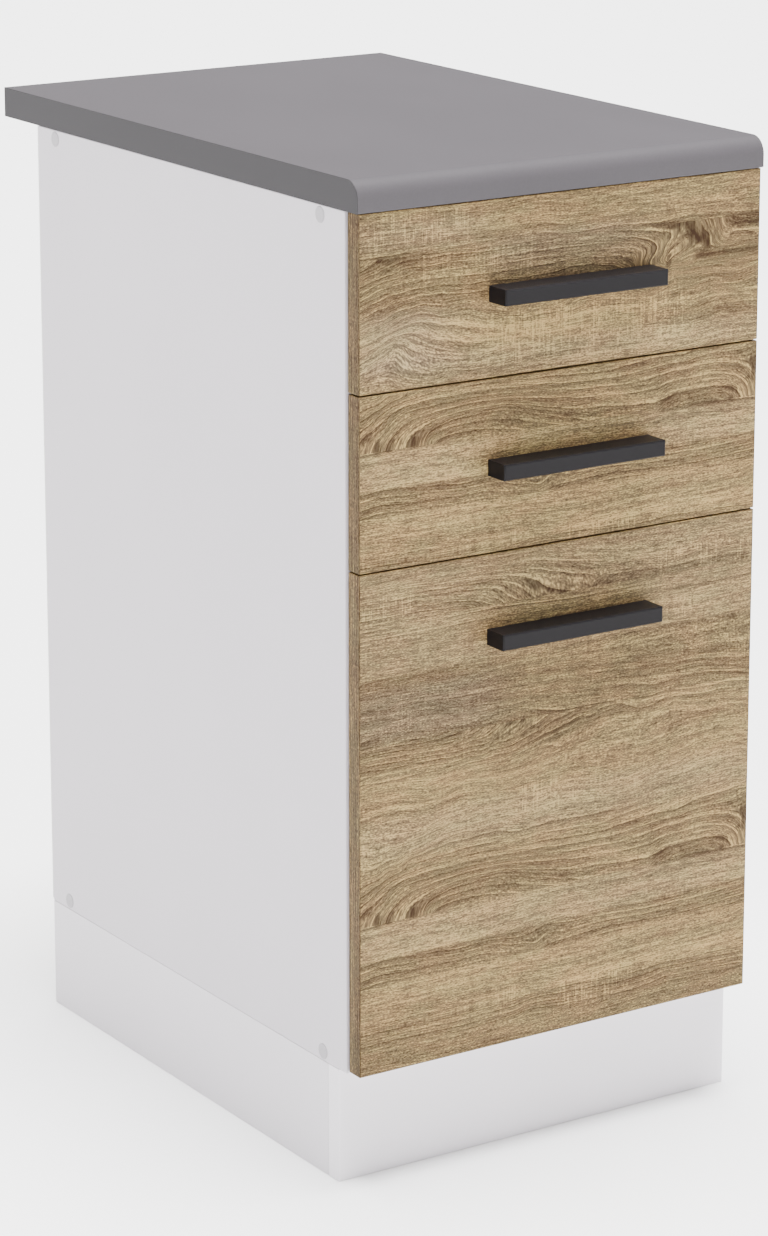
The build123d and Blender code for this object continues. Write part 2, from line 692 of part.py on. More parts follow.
# ---- the whole cabinet --------------------------------------------------------------------------
def carcass_nodes():
    """Every piece that stays still, by node name."""
    screws, dowels, nails = carcass_screws(), wooden_dowels(), back_panel_nails()
    fixing_screws, top_screws = runner_screws(), worktop_screws()
    block_screws = plinth_corners(corner_block_screws())
    side = side_panel(screws + dowels + nails + fixing_screws)
    plinth_left = plinth_side(block_screws)
    nodes = {
        "side_panel_left": side,
        "side_panel_right": mirrored(side),
        "bottom_panel": bottom_panel(screws + dowels + nails + block_screws),
        "top_rail_front": top_rail(CARCASS_FRONT_Y, screws + dowels + top_screws),
        "top_rail_rear": top_rail(CARCASS_BACK_Y - RAIL_WIDTH, screws + dowels + nails + top_screws),
        "back_panel": back_panel(nails),
        "worktop": worktop(top_screws),
        "plinth_front": plinth_front(block_screws),
        "plinth_rear": plinth_rear(block_screws),
        "plinth_side_left": plinth_left,
        "plinth_side_right": mirrored(plinth_left),
        "plinth_corner_blocks": plinth_corners([cut(corner_block(), *corner_block_screws())]),
        "carcass_screws": screws,
        "cover_caps": cover_caps(),
        "wooden_dowels": dowels,
        "worktop_screws": top_screws,
        "back_panel_nails": nails,
        "pan_head_screws": fixing_screws + block_screws,
    }
    for drawer in DRAWERS:
        nodes[f"runners_{drawer.name}"] = both_sides([cabinet_runner(drawer)])
        nodes[f"front_rollers_{drawer.name}"] = front_rollers(drawer)
    return nodes


def drawer_nodes(drawer):
    """Every piece that travels with one drawer, by node name."""
    pull_screws, corner_screws = handle_screws(drawer), box_screws(drawer)
    cams, rail_fixings = cam_fittings(drawer), both_sides(rail_screws(drawer))
    side = box_side(drawer, corner_screws + rail_fixings)
    pieces = {
        "front": drawer_front(drawer, pull_screws + cams),
        "handle": handle(drawer, pull_screws),
        "side_left": side,
        "side_right": mirrored(side),
        "back": box_back(drawer, corner_screws),
        "floor": box_floor(drawer),
        "rails": both_sides([drawer_rail(drawer)]),
        "handle_screws": pull_screws,
        "cam_fittings": cams,
        "box_screws": corner_screws,
        "rail_screws": rail_fixings,
    }
    nodes = {f"drawer_{drawer.name}_{piece}": shape for piece, shape in pieces.items()}
    nodes[f"rear_rollers_{drawer.name}"] = rear_rollers(drawer)
    return nodes


def write(nodes):
    """One STEP file for each node; a group of pieces goes in as separate solids."""
    os.makedirs("parts", exist_ok=True)
    for name, shape in nodes.items():
        if isinstance(shape, list):
            shape = Compound(children=[solid for part in shape for solid in part.solids()])
        export_step(shape, f"parts/{name}.step")


write(carcass_nodes())
for drawer in DRAWERS:
    write(drawer_nodes(drawer))
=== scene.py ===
"""A narrow kitchen base cabinet with three drawers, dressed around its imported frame.

Everything is in metres in the cabinet's own frame: X to the right seen from the front, Y from the
front to the back, Z up from the floor. Boards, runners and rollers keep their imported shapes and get
finishes. The drawer fronts, the worktop, the handles and the visible screws are surfaces worked out
here, which take the places of their plain solids.
"""

import logging
import math
from dataclasses import dataclass, field
from enum import Enum
from typing import Any, Iterable, Sequence

import bmesh
import bpy
import numpy as np
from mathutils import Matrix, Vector


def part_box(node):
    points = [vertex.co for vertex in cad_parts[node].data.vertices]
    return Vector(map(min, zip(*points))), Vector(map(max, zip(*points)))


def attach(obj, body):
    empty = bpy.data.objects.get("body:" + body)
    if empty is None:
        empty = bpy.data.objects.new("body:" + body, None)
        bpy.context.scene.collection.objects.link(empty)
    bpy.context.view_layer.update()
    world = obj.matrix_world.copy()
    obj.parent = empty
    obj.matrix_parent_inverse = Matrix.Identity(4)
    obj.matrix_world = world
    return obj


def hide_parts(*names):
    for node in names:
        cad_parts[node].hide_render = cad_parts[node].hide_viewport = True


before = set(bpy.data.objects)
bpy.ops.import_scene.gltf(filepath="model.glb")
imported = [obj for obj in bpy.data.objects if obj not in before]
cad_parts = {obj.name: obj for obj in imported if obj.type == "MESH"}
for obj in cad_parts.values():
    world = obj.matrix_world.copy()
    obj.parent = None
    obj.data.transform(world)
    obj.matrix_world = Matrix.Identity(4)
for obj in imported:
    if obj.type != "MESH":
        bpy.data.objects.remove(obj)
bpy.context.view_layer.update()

LOG = logging.getLogger("cabinet")
MM = 0.001
Colour = tuple[float, float, float, float]
Points = np.ndarray


def srgb(red: float, green: float, blue: float) -> Colour:
    """Linear colour of an 8-bit screen colour: each channel over 255 goes through the sRGB curve.

    Args:
        red, green, blue: channels from 0 to 255.

    Returns:
        The linear red, green and blue, and an alpha of 1.
    """
    parts = [channel / 255 for channel in (red, green, blue)]
    linear = [part / 12.92 if part <= 0.04045 else ((part + 0.055) / 1.055) ** 2.4 for part in parts]
    return (*linear, 1.0)


def scaled(colour: Colour, share: float) -> Colour:
    """A colour whose red, green and blue are each multiplied by share."""
    return (*(channel * share for channel in colour[:3]), 1.0)


# ---- shader maths -------------------------------------------------------------------------------
@dataclass(frozen=True)
class Value:
    """One output socket of a node tree; its operators add Math nodes to that tree."""

    graph: "Graph"
    socket: bpy.types.NodeSocket

    def __add__(self, other: "Value | float") -> "Value":
        """This value plus other."""
        return self.graph.math("ADD", self, other)

    def __radd__(self, other: float) -> "Value":
        """A number plus this value."""
        return self.graph.math("ADD", other, self)

    def __sub__(self, other: "Value | float") -> "Value":
        """This value minus other."""
        return self.graph.math("SUBTRACT", self, other)

    def __rsub__(self, other: float) -> "Value":
        """A number minus this value."""
        return self.graph.math("SUBTRACT", other, self)

    def __mul__(self, other: "Value | float") -> "Value":
        """This value times other."""
        return self.graph.math("MULTIPLY", self, other)

    def __pow__(self, other: "Value | float") -> "Value":
        """This value to the power of other."""
        return self.graph.math("POWER", self, other)

    def fract(self) -> "Value":
        """What is left of this value past the whole number below it."""
        return self.graph.math("FRACT", self)

    def floor(self) -> "Value":
        """The whole number below this value."""
        return self.graph.math("FLOOR", self)

    def ramp(self, low: float, high: float) -> "Value":
        """A smooth step: 0 below low, 1 above high, and 3t^2 - 2t^3 at a share t of the way between."""
        return self.graph.spread(self, low, high, 0.0, 1.0)


class Graph:
    """The node tree of a material or a world."""

    def __init__(self, tree: bpy.types.NodeTree) -> None:
        """Empties the tree."""
        self.tree = tree
        self.tree.nodes.clear()

    def node(self, kind: str, settings: dict | None = None, inputs: dict | None = None,
             output: int | str = 0) -> Value | None:
        """Adds any node.

        Args:
            kind: the node's type.
            settings: its properties, set before its sockets; "stops" gives a ramp's (place, colour) pairs.
            inputs: a value, number or colour for each socket, by name or by number.
            output: which output the result stands for.

        Returns:
            That output, or nothing if the node has no outputs.
        """
        made = self.tree.nodes.new(kind)
        for key, setting in (settings or {}).items():
            if key == "stops":
                self._set_stops(made.color_ramp, setting)
            else:
                setattr(made, key, setting)
        for key, value in (inputs or {}).items():
            self._feed(made.inputs[key], value)
        return Value(self, made.outputs[output]) if len(made.outputs) else None

    def _set_stops(self, ramp: bpy.types.ColorRamp, stops: Sequence[tuple[float, Colour]]) -> None:
        """Gives a colour ramp its stops.

        Args:
            ramp: the new ramp.
            stops: (place, colour) from left to right.
        """
        while len(ramp.elements) < len(stops):
            ramp.elements.new(1.0)
        for element, (place, colour) in zip(ramp.elements, stops):
            element.position = place
            element.color = colour

    def _feed(self, socket: bpy.types.NodeSocket, value: Any) -> None:
        """Links a value to a socket, or sets the socket.

        Args:
            socket: the input.
            value: an output of the same tree, or a number or colour.
        """
        if isinstance(value, Value):
            self.tree.links.new(value.socket, socket)
        else:
            socket.default_value = value

    def math(self, operation: str, *operands: "Value | float") -> Value:
        """One Math node on values and numbers."""
        return self.node("ShaderNodeMath", {"operation": operation}, dict(enumerate(operands)))

    def vector(self, x: "Value | float", y: "Value | float", z: "Value | float" = 0.0) -> Value:
        """A vector from its three parts."""
        return self.node("ShaderNodeCombineXYZ", None, {0: x, 1: y, 2: z})

    def parts(self, vector: Value) -> tuple[Value, Value, Value]:
        """The three parts of a vector."""
        split = self.node("ShaderNodeSeparateXYZ", None, {0: vector}).socket.node
        return tuple(Value(self, split.outputs[place]) for place in range(3))

    def place(self) -> Value:
        """The point on the piece, in its own coordinates."""
        return self.node("ShaderNodeTexCoord", None, None, "Object")

    def attribute(self, name: str) -> Value:
        """A vector that the mesh carries."""
        return self.node("ShaderNodeAttribute", {"attribute_name": name}, None, "Vector")

    def stretch(self, vector: Value, scale: tuple[float, float, float]) -> Value:
        """A vector with each part multiplied by its own scale."""
        return self.node("ShaderNodeVectorMath", {"operation": "MULTIPLY"}, {0: vector, 1: scale})

    def noise(self, vector: Value, scale: float = 1.0, detail: float = 2.0, rough: float = 0.5) -> Value:
        """Smooth noise from about 0.25 to 0.75, with finer octaves on it."""
        inputs = {"Vector": vector, "Scale": scale, "Detail": detail, "Roughness": rough}
        return self.node("ShaderNodeTexNoise", {"noise_dimensions": "3D"}, inputs)

    def grain(self, x: "Value | float", y: "Value | float", z: "Value | float", detail: float = 1.0,
              rough: float = 0.5) -> Value:
        """Noise of about one wave per unit, at a place given by its three parts."""
        return self.noise(self.vector(x, y, z), 1.0, detail, rough)

    def cells(self, vector: Value, scale: float) -> tuple[Value, Value]:
        """Random cells: the distance to the nearest cell's middle, and that cell's own colour."""
        made = self.node("ShaderNodeTexVoronoi", {"feature": "F1"}, {"Vector": vector, "Scale": scale})
        return made, Value(self, made.socket.node.outputs["Color"])

    def spread(self, value: Value, low: float, high: float, first: float, last: float) -> Value:
        """A smooth step from first, where value is low, to last, where it is high."""
        inputs = dict(enumerate((value, low, high, first, last)))
        return self.node("ShaderNodeMapRange", {"interpolation_type": "SMOOTHSTEP"}, inputs)

    def mix(self, share: "Value | float", first: "Value | Colour", second: "Value | Colour",
            blend: str = "MIX") -> Value:
        """A colour that goes from first to second as share goes from 0 to 1.

        Args:
            share: kept between 0 and 1.
            first, second: the two colours.
            blend: how the second is laid over the first.

        Returns:
            The colour.
        """
        settings = {"data_type": "RGBA", "blend_type": blend, "clamp_factor": True}
        colours = {6: first, 7: second}  # the colour sockets among those of every data type
        return self.node("ShaderNodeMix", settings, {0: share} | colours, 2)

    def bump(self, height: Value, depth: float, below: Value | None = None) -> Value:
        """A normal tilted by a height.

        Args:
            height: the height, where 1 stands for depth metres.
            depth: metres.
            below: the normal that it tilts, if it isn't the surface's own.

        Returns:
            The tilted normal.
        """
        inputs = {"Strength": 1.0, "Distance": depth, "Height": height}
        if below is not None:
            inputs["Normal"] = below
        return self.node("ShaderNodeBump", None, inputs)

    def facing(self) -> tuple[Value, Value, Value]:
        """The three parts of the direction in which the surface faces."""
        return self.parts(self.node("ShaderNodeNewGeometry", None, None, "True Normal"))

    def finish(self, colour: Value, rough: "Value | float", normal: Value | None = None,
               extra: dict[str, Any] | None = None) -> None:
        """Ends a material's tree in a Principled shader.

        Args:
            colour: its base colour.
            rough: its roughness.
            normal: its normal, if the surface isn't smooth.
            extra: a value, number or colour for each further socket, by name.
        """
        sockets = {"Base Color": colour, "Roughness": rough} | (extra or {})
        if normal is not None:
            sockets["Normal"] = normal
        shader = self.node("ShaderNodeBsdfPrincipled", None, sockets)
        self.node("ShaderNodeOutputMaterial", None, {"Surface": shader})


# ---- finishes -----------------------------------------------------------------------------------
@dataclass(frozen=True)
class Finish:
    """A finish of one kind of surface; equal finishes share one material."""

    def material(self) -> bpy.types.Material:
        """Makes the finish's material when it is first asked for.

        Returns:
            The material.
        """
        if self not in MADE_MATERIALS:
            made = bpy.data.materials.new(type(self).__name__)
            made.use_nodes = True
            self.build(Graph(made.node_tree))
            MADE_MATERIALS[self] = made
        return MADE_MATERIALS[self]

    def build(self, graph: Graph) -> None:
        """Fills an empty tree with this finish."""
        raise NotImplementedError


MADE_MATERIALS: dict[Finish, bpy.types.Material] = {}


class Side(Enum):
    """A side of a board, by the direction that it faces."""

    FRONT = (1, -1)
    BACK = (1, 1)
    BELOW = (2, -1)
    ABOVE = (2, 1)

    def mask(self, normal: tuple[Value, Value, Value]) -> Value:
        """1 where the normal points this way: the smooth step of its part along the axis, 0.94 to 0.98."""
        axis, sign = self.value
        return (normal[axis] * float(sign)).ramp(0.94, 0.98)


@dataclass(frozen=True)
class ChipCore(Finish):
    """Bare chipboard: pressed wood flakes from pale straw to brown, with open pores between them."""

    pale: Colour = srgb(206, 178, 138)
    brown: Colour = srgb(150, 112, 72)
    flake: float = 420.0  # flakes per metre

    def colour(self, graph: Graph) -> tuple[Value, Value]:
        """Draws the core: each cell of a stretched pattern is one flake.

        Args:
            graph: the material's tree.

        Returns:
            The core's colour and height.
        """
        place = graph.place()
        _, tint = graph.cells(graph.stretch(place, (0.7, 0.7, 1.6)), self.flake)
        flake_tone = graph.parts(tint)[0]
        fine = graph.noise(place, 2600.0, 3.0)
        body = graph.mix(flake_tone, self.pale, self.brown)
        pores = (0.42 - fine).ramp(0.0, 0.08)
        return graph.mix(pores * 0.55, body, srgb(84, 58, 36)), flake_tone * 0.5 + fine

    def build(self, graph: Graph) -> None:
        """Bare core all over."""
        colour, height = self.colour(graph)
        graph.finish(colour, 0.85, graph.bump(height, 0.00025))


@dataclass(frozen=True)
class WhiteBoard(Finish):
    """White melamine on chipboard, with a fine pearl texture; the sides in bare show the core."""

    bare: tuple[Side, ...] = ()
    white: Colour = (0.63, 0.597, 0.63, 1.0)

    def build(self, graph: Graph) -> None:
        """White all over, and the chipboard core where a bare side's normal points.

        Args:
            graph: the material's empty tree.
        """
        place = graph.place()
        pearl = graph.noise(place, 900.0, 3.0, 0.6)
        cloud = graph.noise(place, 7.0, 2.0)
        tone = cloud.ramp(0.3, 0.7) * 0.6 + (pearl - 0.5) * 0.3
        colour = graph.mix(tone, self.white, scaled(self.white, 0.965))
        rough = 0.36 + (pearl - 0.5) * 0.25
        normal = graph.bump(pearl, 0.00006)
        if self.bare:
            facing = graph.facing()
            mask = self.bare[0].mask(facing)
            for side in self.bare[1:]:
                mask = graph.math("MAXIMUM", mask, side.mask(facing))
            core, flakes = ChipCore().colour(graph)
            colour = graph.mix(mask, colour, core)
            rough = rough + mask * 0.45
            normal = graph.bump(flakes * mask, 0.00025, normal)
        graph.finish(colour, rough, normal)


@dataclass(frozen=True)
class Laminate(Finish):
    """Mid-grey worktop laminate: matt, with a very fine pebbled grain."""

    grey: Colour = (0.068, 0.0625, 0.068, 1.0)
    darker: float = 0.93  # the shares of the grey between which its tone varies
    lighter: float = 1.05

    def build(self, graph: Graph) -> None:
        """Grey with faint clouds, speckle finer than a millimetre, and the grain's own roughness.

        Args:
            graph: the material's empty tree.
        """
        place = graph.place()
        grain = graph.noise(place, 1500.0, 3.0, 0.65)
        speck = graph.noise(place, 620.0, 2.0)
        cloud = graph.noise(graph.stretch(place, (1.0, 0.5, 1.0)), 9.0, 3.0)
        tone = cloud.ramp(0.35, 0.65) * 0.35 + speck.ramp(0.35, 0.65) * 0.4 + (grain - 0.5) * 0.5
        colour = graph.mix(tone, scaled(self.grey, self.darker), scaled(self.grey, self.lighter))
        rough = 0.56 + (grain - 0.5) * 0.3
        graph.finish(colour, rough, graph.bump(grain, 0.00005), {"Specular IOR Level": 0.15})


@dataclass(frozen=True)
class BackingPaper(Finish):
    """The paper under a worktop: brown-grey, matt, mottled by the glue."""

    paper: Colour = srgb(150, 136, 118)

    def build(self, graph: Graph) -> None:
        """Paper colour with soft mottles and fine fibres along X.

        Args:
            graph: the material's empty tree.
        """
        place = graph.place()
        mottle = graph.noise(place, 60.0, 4.0)
        fibre = graph.noise(graph.stretch(place, (300.0, 2400.0, 2400.0)), 1.0, 2.0)
        colour = graph.mix(mottle.ramp(0.3, 0.7) * 0.5 + fibre * 0.4, self.paper, srgb(122, 108, 92))
        graph.finish(colour, 0.8, graph.bump(fibre, 0.00004))


@dataclass(frozen=True)
class Hardboard(Finish):
    """Thin hardboard: smooth white lacquer on one side, brown pressed fibre on the other."""

    brown_side: Side = Side.BACK

    def build(self, graph: Graph) -> None:
        """White, and brown with a felted fibre where the brown side's normal points.

        Args:
            graph: the material's empty tree.
        """
        place = graph.place()
        lacquer = 1.0 - self.brown_side.mask(graph.facing())
        felt = graph.noise(place, 900.0, 5.0, 0.7)
        pulp = graph.noise(place, 160.0, 5.0, 0.7)
        brown = graph.mix(pulp.ramp(0.3, 0.7), srgb(112, 81, 50), srgb(97, 69, 42))
        brown = graph.mix(felt.ramp(0.5, 0.75) * 0.5, brown, srgb(132, 101, 66))
        colour = graph.mix(lacquer, brown, (0.64, 0.63, 0.62, 1.0))
        rough = 0.72 - lacquer * 0.34 + (felt - 0.5) * 0.2
        height = felt * (1.0 - lacquer * 0.8)
        graph.finish(colour, rough, graph.bump(height, 0.00012))


@dataclass(frozen=True)
class OakDecor(Finish):
    """Saw-cut oak decor, drawn from what the front's mesh carries.

    decor_flow holds millimetres along the grain, millimetres across it, and the growth line's number.
    decor_tone holds how strong the growth lines are, how pale the wood is and how grey it is.
    decor_marks holds how strong the saw marks are and how speckled the wood is.
    decor_figures holds how many millimetres inside a dark figure and inside a pale one the point is.
    """

    stops: tuple[tuple[float, Colour], ...] = (
        (0.0, (0.024, 0.0096, 0.0015, 1.0)),
        (0.19, (0.041, 0.0232, 0.008, 1.0)),
        (0.48, (0.079, 0.0535, 0.0252, 1.0)),
        (0.717, (0.145, 0.1005, 0.0451, 1.0)),
        (0.9, (0.254, 0.1765, 0.0703, 1.0)),
        (1.0, (0.376, 0.265, 0.0978, 1.0)),
    )
    rosy: Colour = (1.05, 0.97, 0.98, 1.0)
    olive: Colour = (0.98, 1.0, 1.0, 1.0)

    def build(self, graph: Graph) -> None:
        """Fibres along the flow, growth lines with one sharp edge, saw strokes, speckle and figures.

        Args:
            graph: the material's empty tree.
        """
        along, across, ring = graph.parts(graph.attribute("decor_flow"))
        vein, tone, greyness = graph.parts(graph.attribute("decor_tone"))
        saw, speckle, _ = graph.parts(graph.attribute("decor_marks"))
        dark, pale, _ = graph.parts(graph.attribute("decor_figures"))
        x, _, z = graph.parts(graph.stretch(graph.place(), (1000.0, 1000.0, 1000.0)))

        fleck = graph.grain(along * 0.42, across * 1.4, 1.0) - 0.5
        dash = graph.grain(along * 0.07, across * 1.05, ring * 0.1, 2.0, 0.6) - 0.5
        fibre = graph.grain(along * 0.022, across * 0.5, 5.0, 2.0, 0.6) - 0.5
        streak = graph.grain(along * 0.004, across * 0.2, 3.0, 3.0, 0.6) - 0.5
        blotch = graph.grain(along * 0.008, across * 0.05, 9.0, 2.0) - 0.5
        pore = graph.grain(along * 0.12, across * 0.8, 17.0).ramp(0.52, 0.62)
        glint = graph.grain(along * 0.16, across * 0.9, 19.0).ramp(0.57, 0.66)
        dots = graph.grain(x * 0.45 + z * 0.4, z * 0.9 - x * 0.35, 31.0, 3.0, 0.7) - 0.5

        sway = graph.grain(along * 0.06, across * 0.5, 23.0, 3.0, 0.7) - 0.5
        height = ring + sway * 0.2
        fade = height.fract()
        own = graph.grain(along * 0.012, height.floor() * 3.7, 41.0).ramp(0.3, 0.62)
        broad = (fade ** 4.0) * (0.4 + own * 0.75)
        thin = ((height * 2.0).fract() ** 4.0) * (0.55 - own * 0.2)
        rim = fade.ramp(0.0, 0.03) * (1.0 - fade.ramp(0.06, 0.22))
        lines = graph.math("MAXIMUM", broad, thin) * vein * (0.75 + dash * 2.0)

        strokes = graph.grain(x * 0.5, z * 0.03, 51.0).ramp(0.51, 0.58)
        ticks = graph.grain(x * 0.045, z * 0.6, 61.0).ramp(0.5, 0.66)
        broken = graph.grain(x * 0.05, z * 0.09, 71.0).ramp(0.35, 0.5)
        cut = saw * graph.math("MAXIMUM", strokes * broken, ticks * 0.5)

        shade = (dark + fibre * 2.5).ramp(-0.5, 0.7) * (0.13 + dark.ramp(-1.0, 6.0) * 0.3)
        gleam = (pale + fibre * 2.0).ramp(-0.6, 0.8)

        light = tone + fleck * 1.2 + dash * 0.9 + fibre * 0.5 + streak * 0.65 + blotch * 0.25
        light = light + rim * vein * 0.17 - lines * 0.6
        light = light + glint * 0.09 - pore * 0.18 + dots * speckle * 1.6 + cut * 0.26
        light = light - shade + gleam * 0.16

        warm = graph.node("ShaderNodeValToRGB", {"stops": self.stops}, {0: light})
        drift = graph.grain(along * 0.02, across * 0.06, 81.0, 2.0, 0.6).ramp(0.35, 0.65)
        warm = graph.mix(1.0, warm, graph.mix(drift, self.rosy, self.olive), "MULTIPLY")
        dull = graph.node("ShaderNodeHueSaturation", None, {"Saturation": 0.8, "Color": warm})
        colour = graph.mix(greyness, warm, dull)
        relief = fleck * 0.5 + dash * 0.5 - pore * 0.5 + cut * 0.3
        rough = 0.55 + fibre * 0.2
        graph.finish(colour, rough, graph.bump(relief, 0.00005), {"Specular IOR Level": 0.1})


@dataclass(frozen=True)
class HandleCoat(Finish):
    """Anthracite powder coat on a cast handle: satin, with a very fine orange peel."""

    black: Colour = (0.006, 0.0052, 0.006, 1.0)
    speck: Colour = (0.010, 0.0088, 0.010, 1.0)

    def build(self, graph: Graph) -> None:
        """Near black, a little lighter in specks, with an uneven gloss.

        Args:
            graph: the material's empty tree.
        """
        place = graph.place()
        peel = graph.noise(place, 1300.0, 3.0, 0.6)
        cloud = graph.noise(place, 30.0, 3.0)
        colour = graph.mix(peel.ramp(0.45, 0.7) * 0.5 + cloud * 0.2, self.black, self.speck)
        rough = 0.42 + (peel - 0.5) * 0.25 + (cloud - 0.5) * 0.1
        graph.finish(colour, rough, graph.bump(peel, 0.00004), {"Specular IOR Level": 0.11})


@dataclass(frozen=True)
class CoatedSteel(Finish):
    """White epoxy on bent sheet: smooth and slightly wavy, with long grey scuffs."""

    white: Colour = (0.70, 0.70, 0.68, 1.0)
    scuffed: Colour = (0.52, 0.52, 0.51, 1.0)

    def build(self, graph: Graph) -> None:
        """Off-white with faint long scuffs along Y.

        Args:
            graph: the material's empty tree.
        """
        place = graph.place()
        peel = graph.noise(place, 700.0, 3.0)
        scuff = graph.noise(graph.stretch(place, (900.0, 25.0, 900.0)), 1.0, 4.0, 0.6).ramp(0.56, 0.75)
        colour = graph.mix(scuff * 0.45 + (peel - 0.5) * 0.2, self.white, self.scuffed)
        coat = {"Coat Weight": 0.25, "Coat Roughness": 0.15}
        graph.finish(colour, 0.3 + scuff * 0.25, graph.bump(peel, 0.00005), coat)


@dataclass(frozen=True)
class Moulded(Finish):
    """A moulded plastic: its colour, a fine spark-eroded grain and faint flow clouds."""

    colour: Colour
    gloss: float = 0.42  # its roughness
    grain: float = 1100.0
    see_in: float = 0.0  # share of light that enters the plastic, as in nylon

    def build(self, graph: Graph) -> None:
        """The colour with clouds, its grain as bump and roughness.

        Args:
            graph: the material's empty tree.
        """
        place = graph.place()
        grain = graph.noise(place, self.grain, 3.0, 0.6)
        cloud = graph.noise(place, 85.0, 3.0)
        colour = graph.mix(cloud * 0.7 + (grain - 0.5) * 0.3, self.colour, scaled(self.colour, 0.9))
        rough = self.gloss + (grain - 0.5) * 0.2
        depth = {"Subsurface Weight": self.see_in, "Subsurface Radius": (0.002, 0.002, 0.0015)}
        graph.finish(colour, rough, graph.bump(grain, 0.00005), depth if self.see_in else None)


@dataclass(frozen=True)
class Zinc(Finish):
    """Bright zinc plating: metal with a bluish cast, a fine grain and an uneven gloss."""

    metal: Colour = (0.66, 0.67, 0.68, 1.0)
    dulled: Colour = (0.48, 0.47, 0.44, 1.0)

    def build(self, graph: Graph) -> None:
        """Metal whose tone and gloss vary with fine noise and larger spangles.

        Args:
            graph: the material's empty tree.
        """
        place = graph.place()
        fine = graph.noise(place, 2400.0, 3.0)
        _, tint = graph.cells(place, 380.0)
        spangle = graph.parts(tint)[0]
        colour = graph.mix(fine.ramp(0.3, 0.7) * 0.4 + spangle * 0.3, self.metal, self.dulled)
        rough = 0.28 + fine * 0.15 + spangle * 0.08
        graph.finish(colour, rough, graph.bump(fine, 0.00003), {"Metallic": 1.0})


@dataclass(frozen=True)
class Beech(Finish):
    """Plain turned beech: pinkish tan with short brown flecks along X."""

    tan: Colour = srgb(208, 168, 124)

    def build(self, graph: Graph) -> None:
        """Tan with fine fibres and flecks, both drawn out along X.

        Args:
            graph: the material's empty tree.
        """
        place = graph.place()
        fibre = graph.noise(graph.stretch(place, (90.0, 1500.0, 1500.0)), 1.0, 4.0)
        fleck = graph.noise(graph.stretch(place, (500.0, 2600.0, 2600.0)), 1.0, 1.0).ramp(0.6, 0.7)
        colour = graph.mix(fibre.ramp(0.3, 0.7) * 0.5, self.tan, srgb(178, 134, 92))
        colour = graph.mix(fleck * 0.5, colour, srgb(138, 94, 60))
        graph.finish(colour, 0.65, graph.bump(fibre, 0.00006))


@dataclass(frozen=True)
class StudioFloor(Finish):
    """The pale studio floor."""

    pale: Colour = (0.95, 0.95, 0.95, 1.0)

    def build(self, graph: Graph) -> None:
        """Nearly white, with a hardly visible unevenness.

        Args:
            graph: the material's empty tree.
        """
        cloud = graph.noise(graph.place(), 1.5, 2.0)
        colour = graph.mix(cloud * 0.5, self.pale, (0.94, 0.94, 0.94, 1.0))
        graph.finish(colour, 0.75, extra={"Specular IOR Level": 0.2})


# ---- surfaces -----------------------------------------------------------------------------------
PATCH_GAP = 0.004 * MM  # points of neighbouring patches that are closer than this are one
PACKED_GAP = 0.002 * MM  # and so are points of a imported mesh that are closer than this
ON_PLANE = 0.01 * MM  # a point this close to a plane of a board's box lies on it
SHARPEST = 0.3  # the least cosine of half a turn that an inset outline allows for
MIDWAY = 0.3  # how far the middle of a rounded arris lies inside each of its faces, about 1 - cos 45 degrees


def linked(name: str, data: bpy.types.ID) -> bpy.types.Object:
    """A new object of the scene.

    Args:
        name: its name.
        data: its mesh, light or camera.

    Returns:
        The object, at the origin.
    """
    made = bpy.data.objects.new(name, data)
    bpy.context.scene.collection.objects.link(made)
    return made


@dataclass(frozen=True)
class Patch:
    """One grid of points of a surface, rows by columns, with what its corners carry."""

    points: Points
    carried: dict[str, Points]


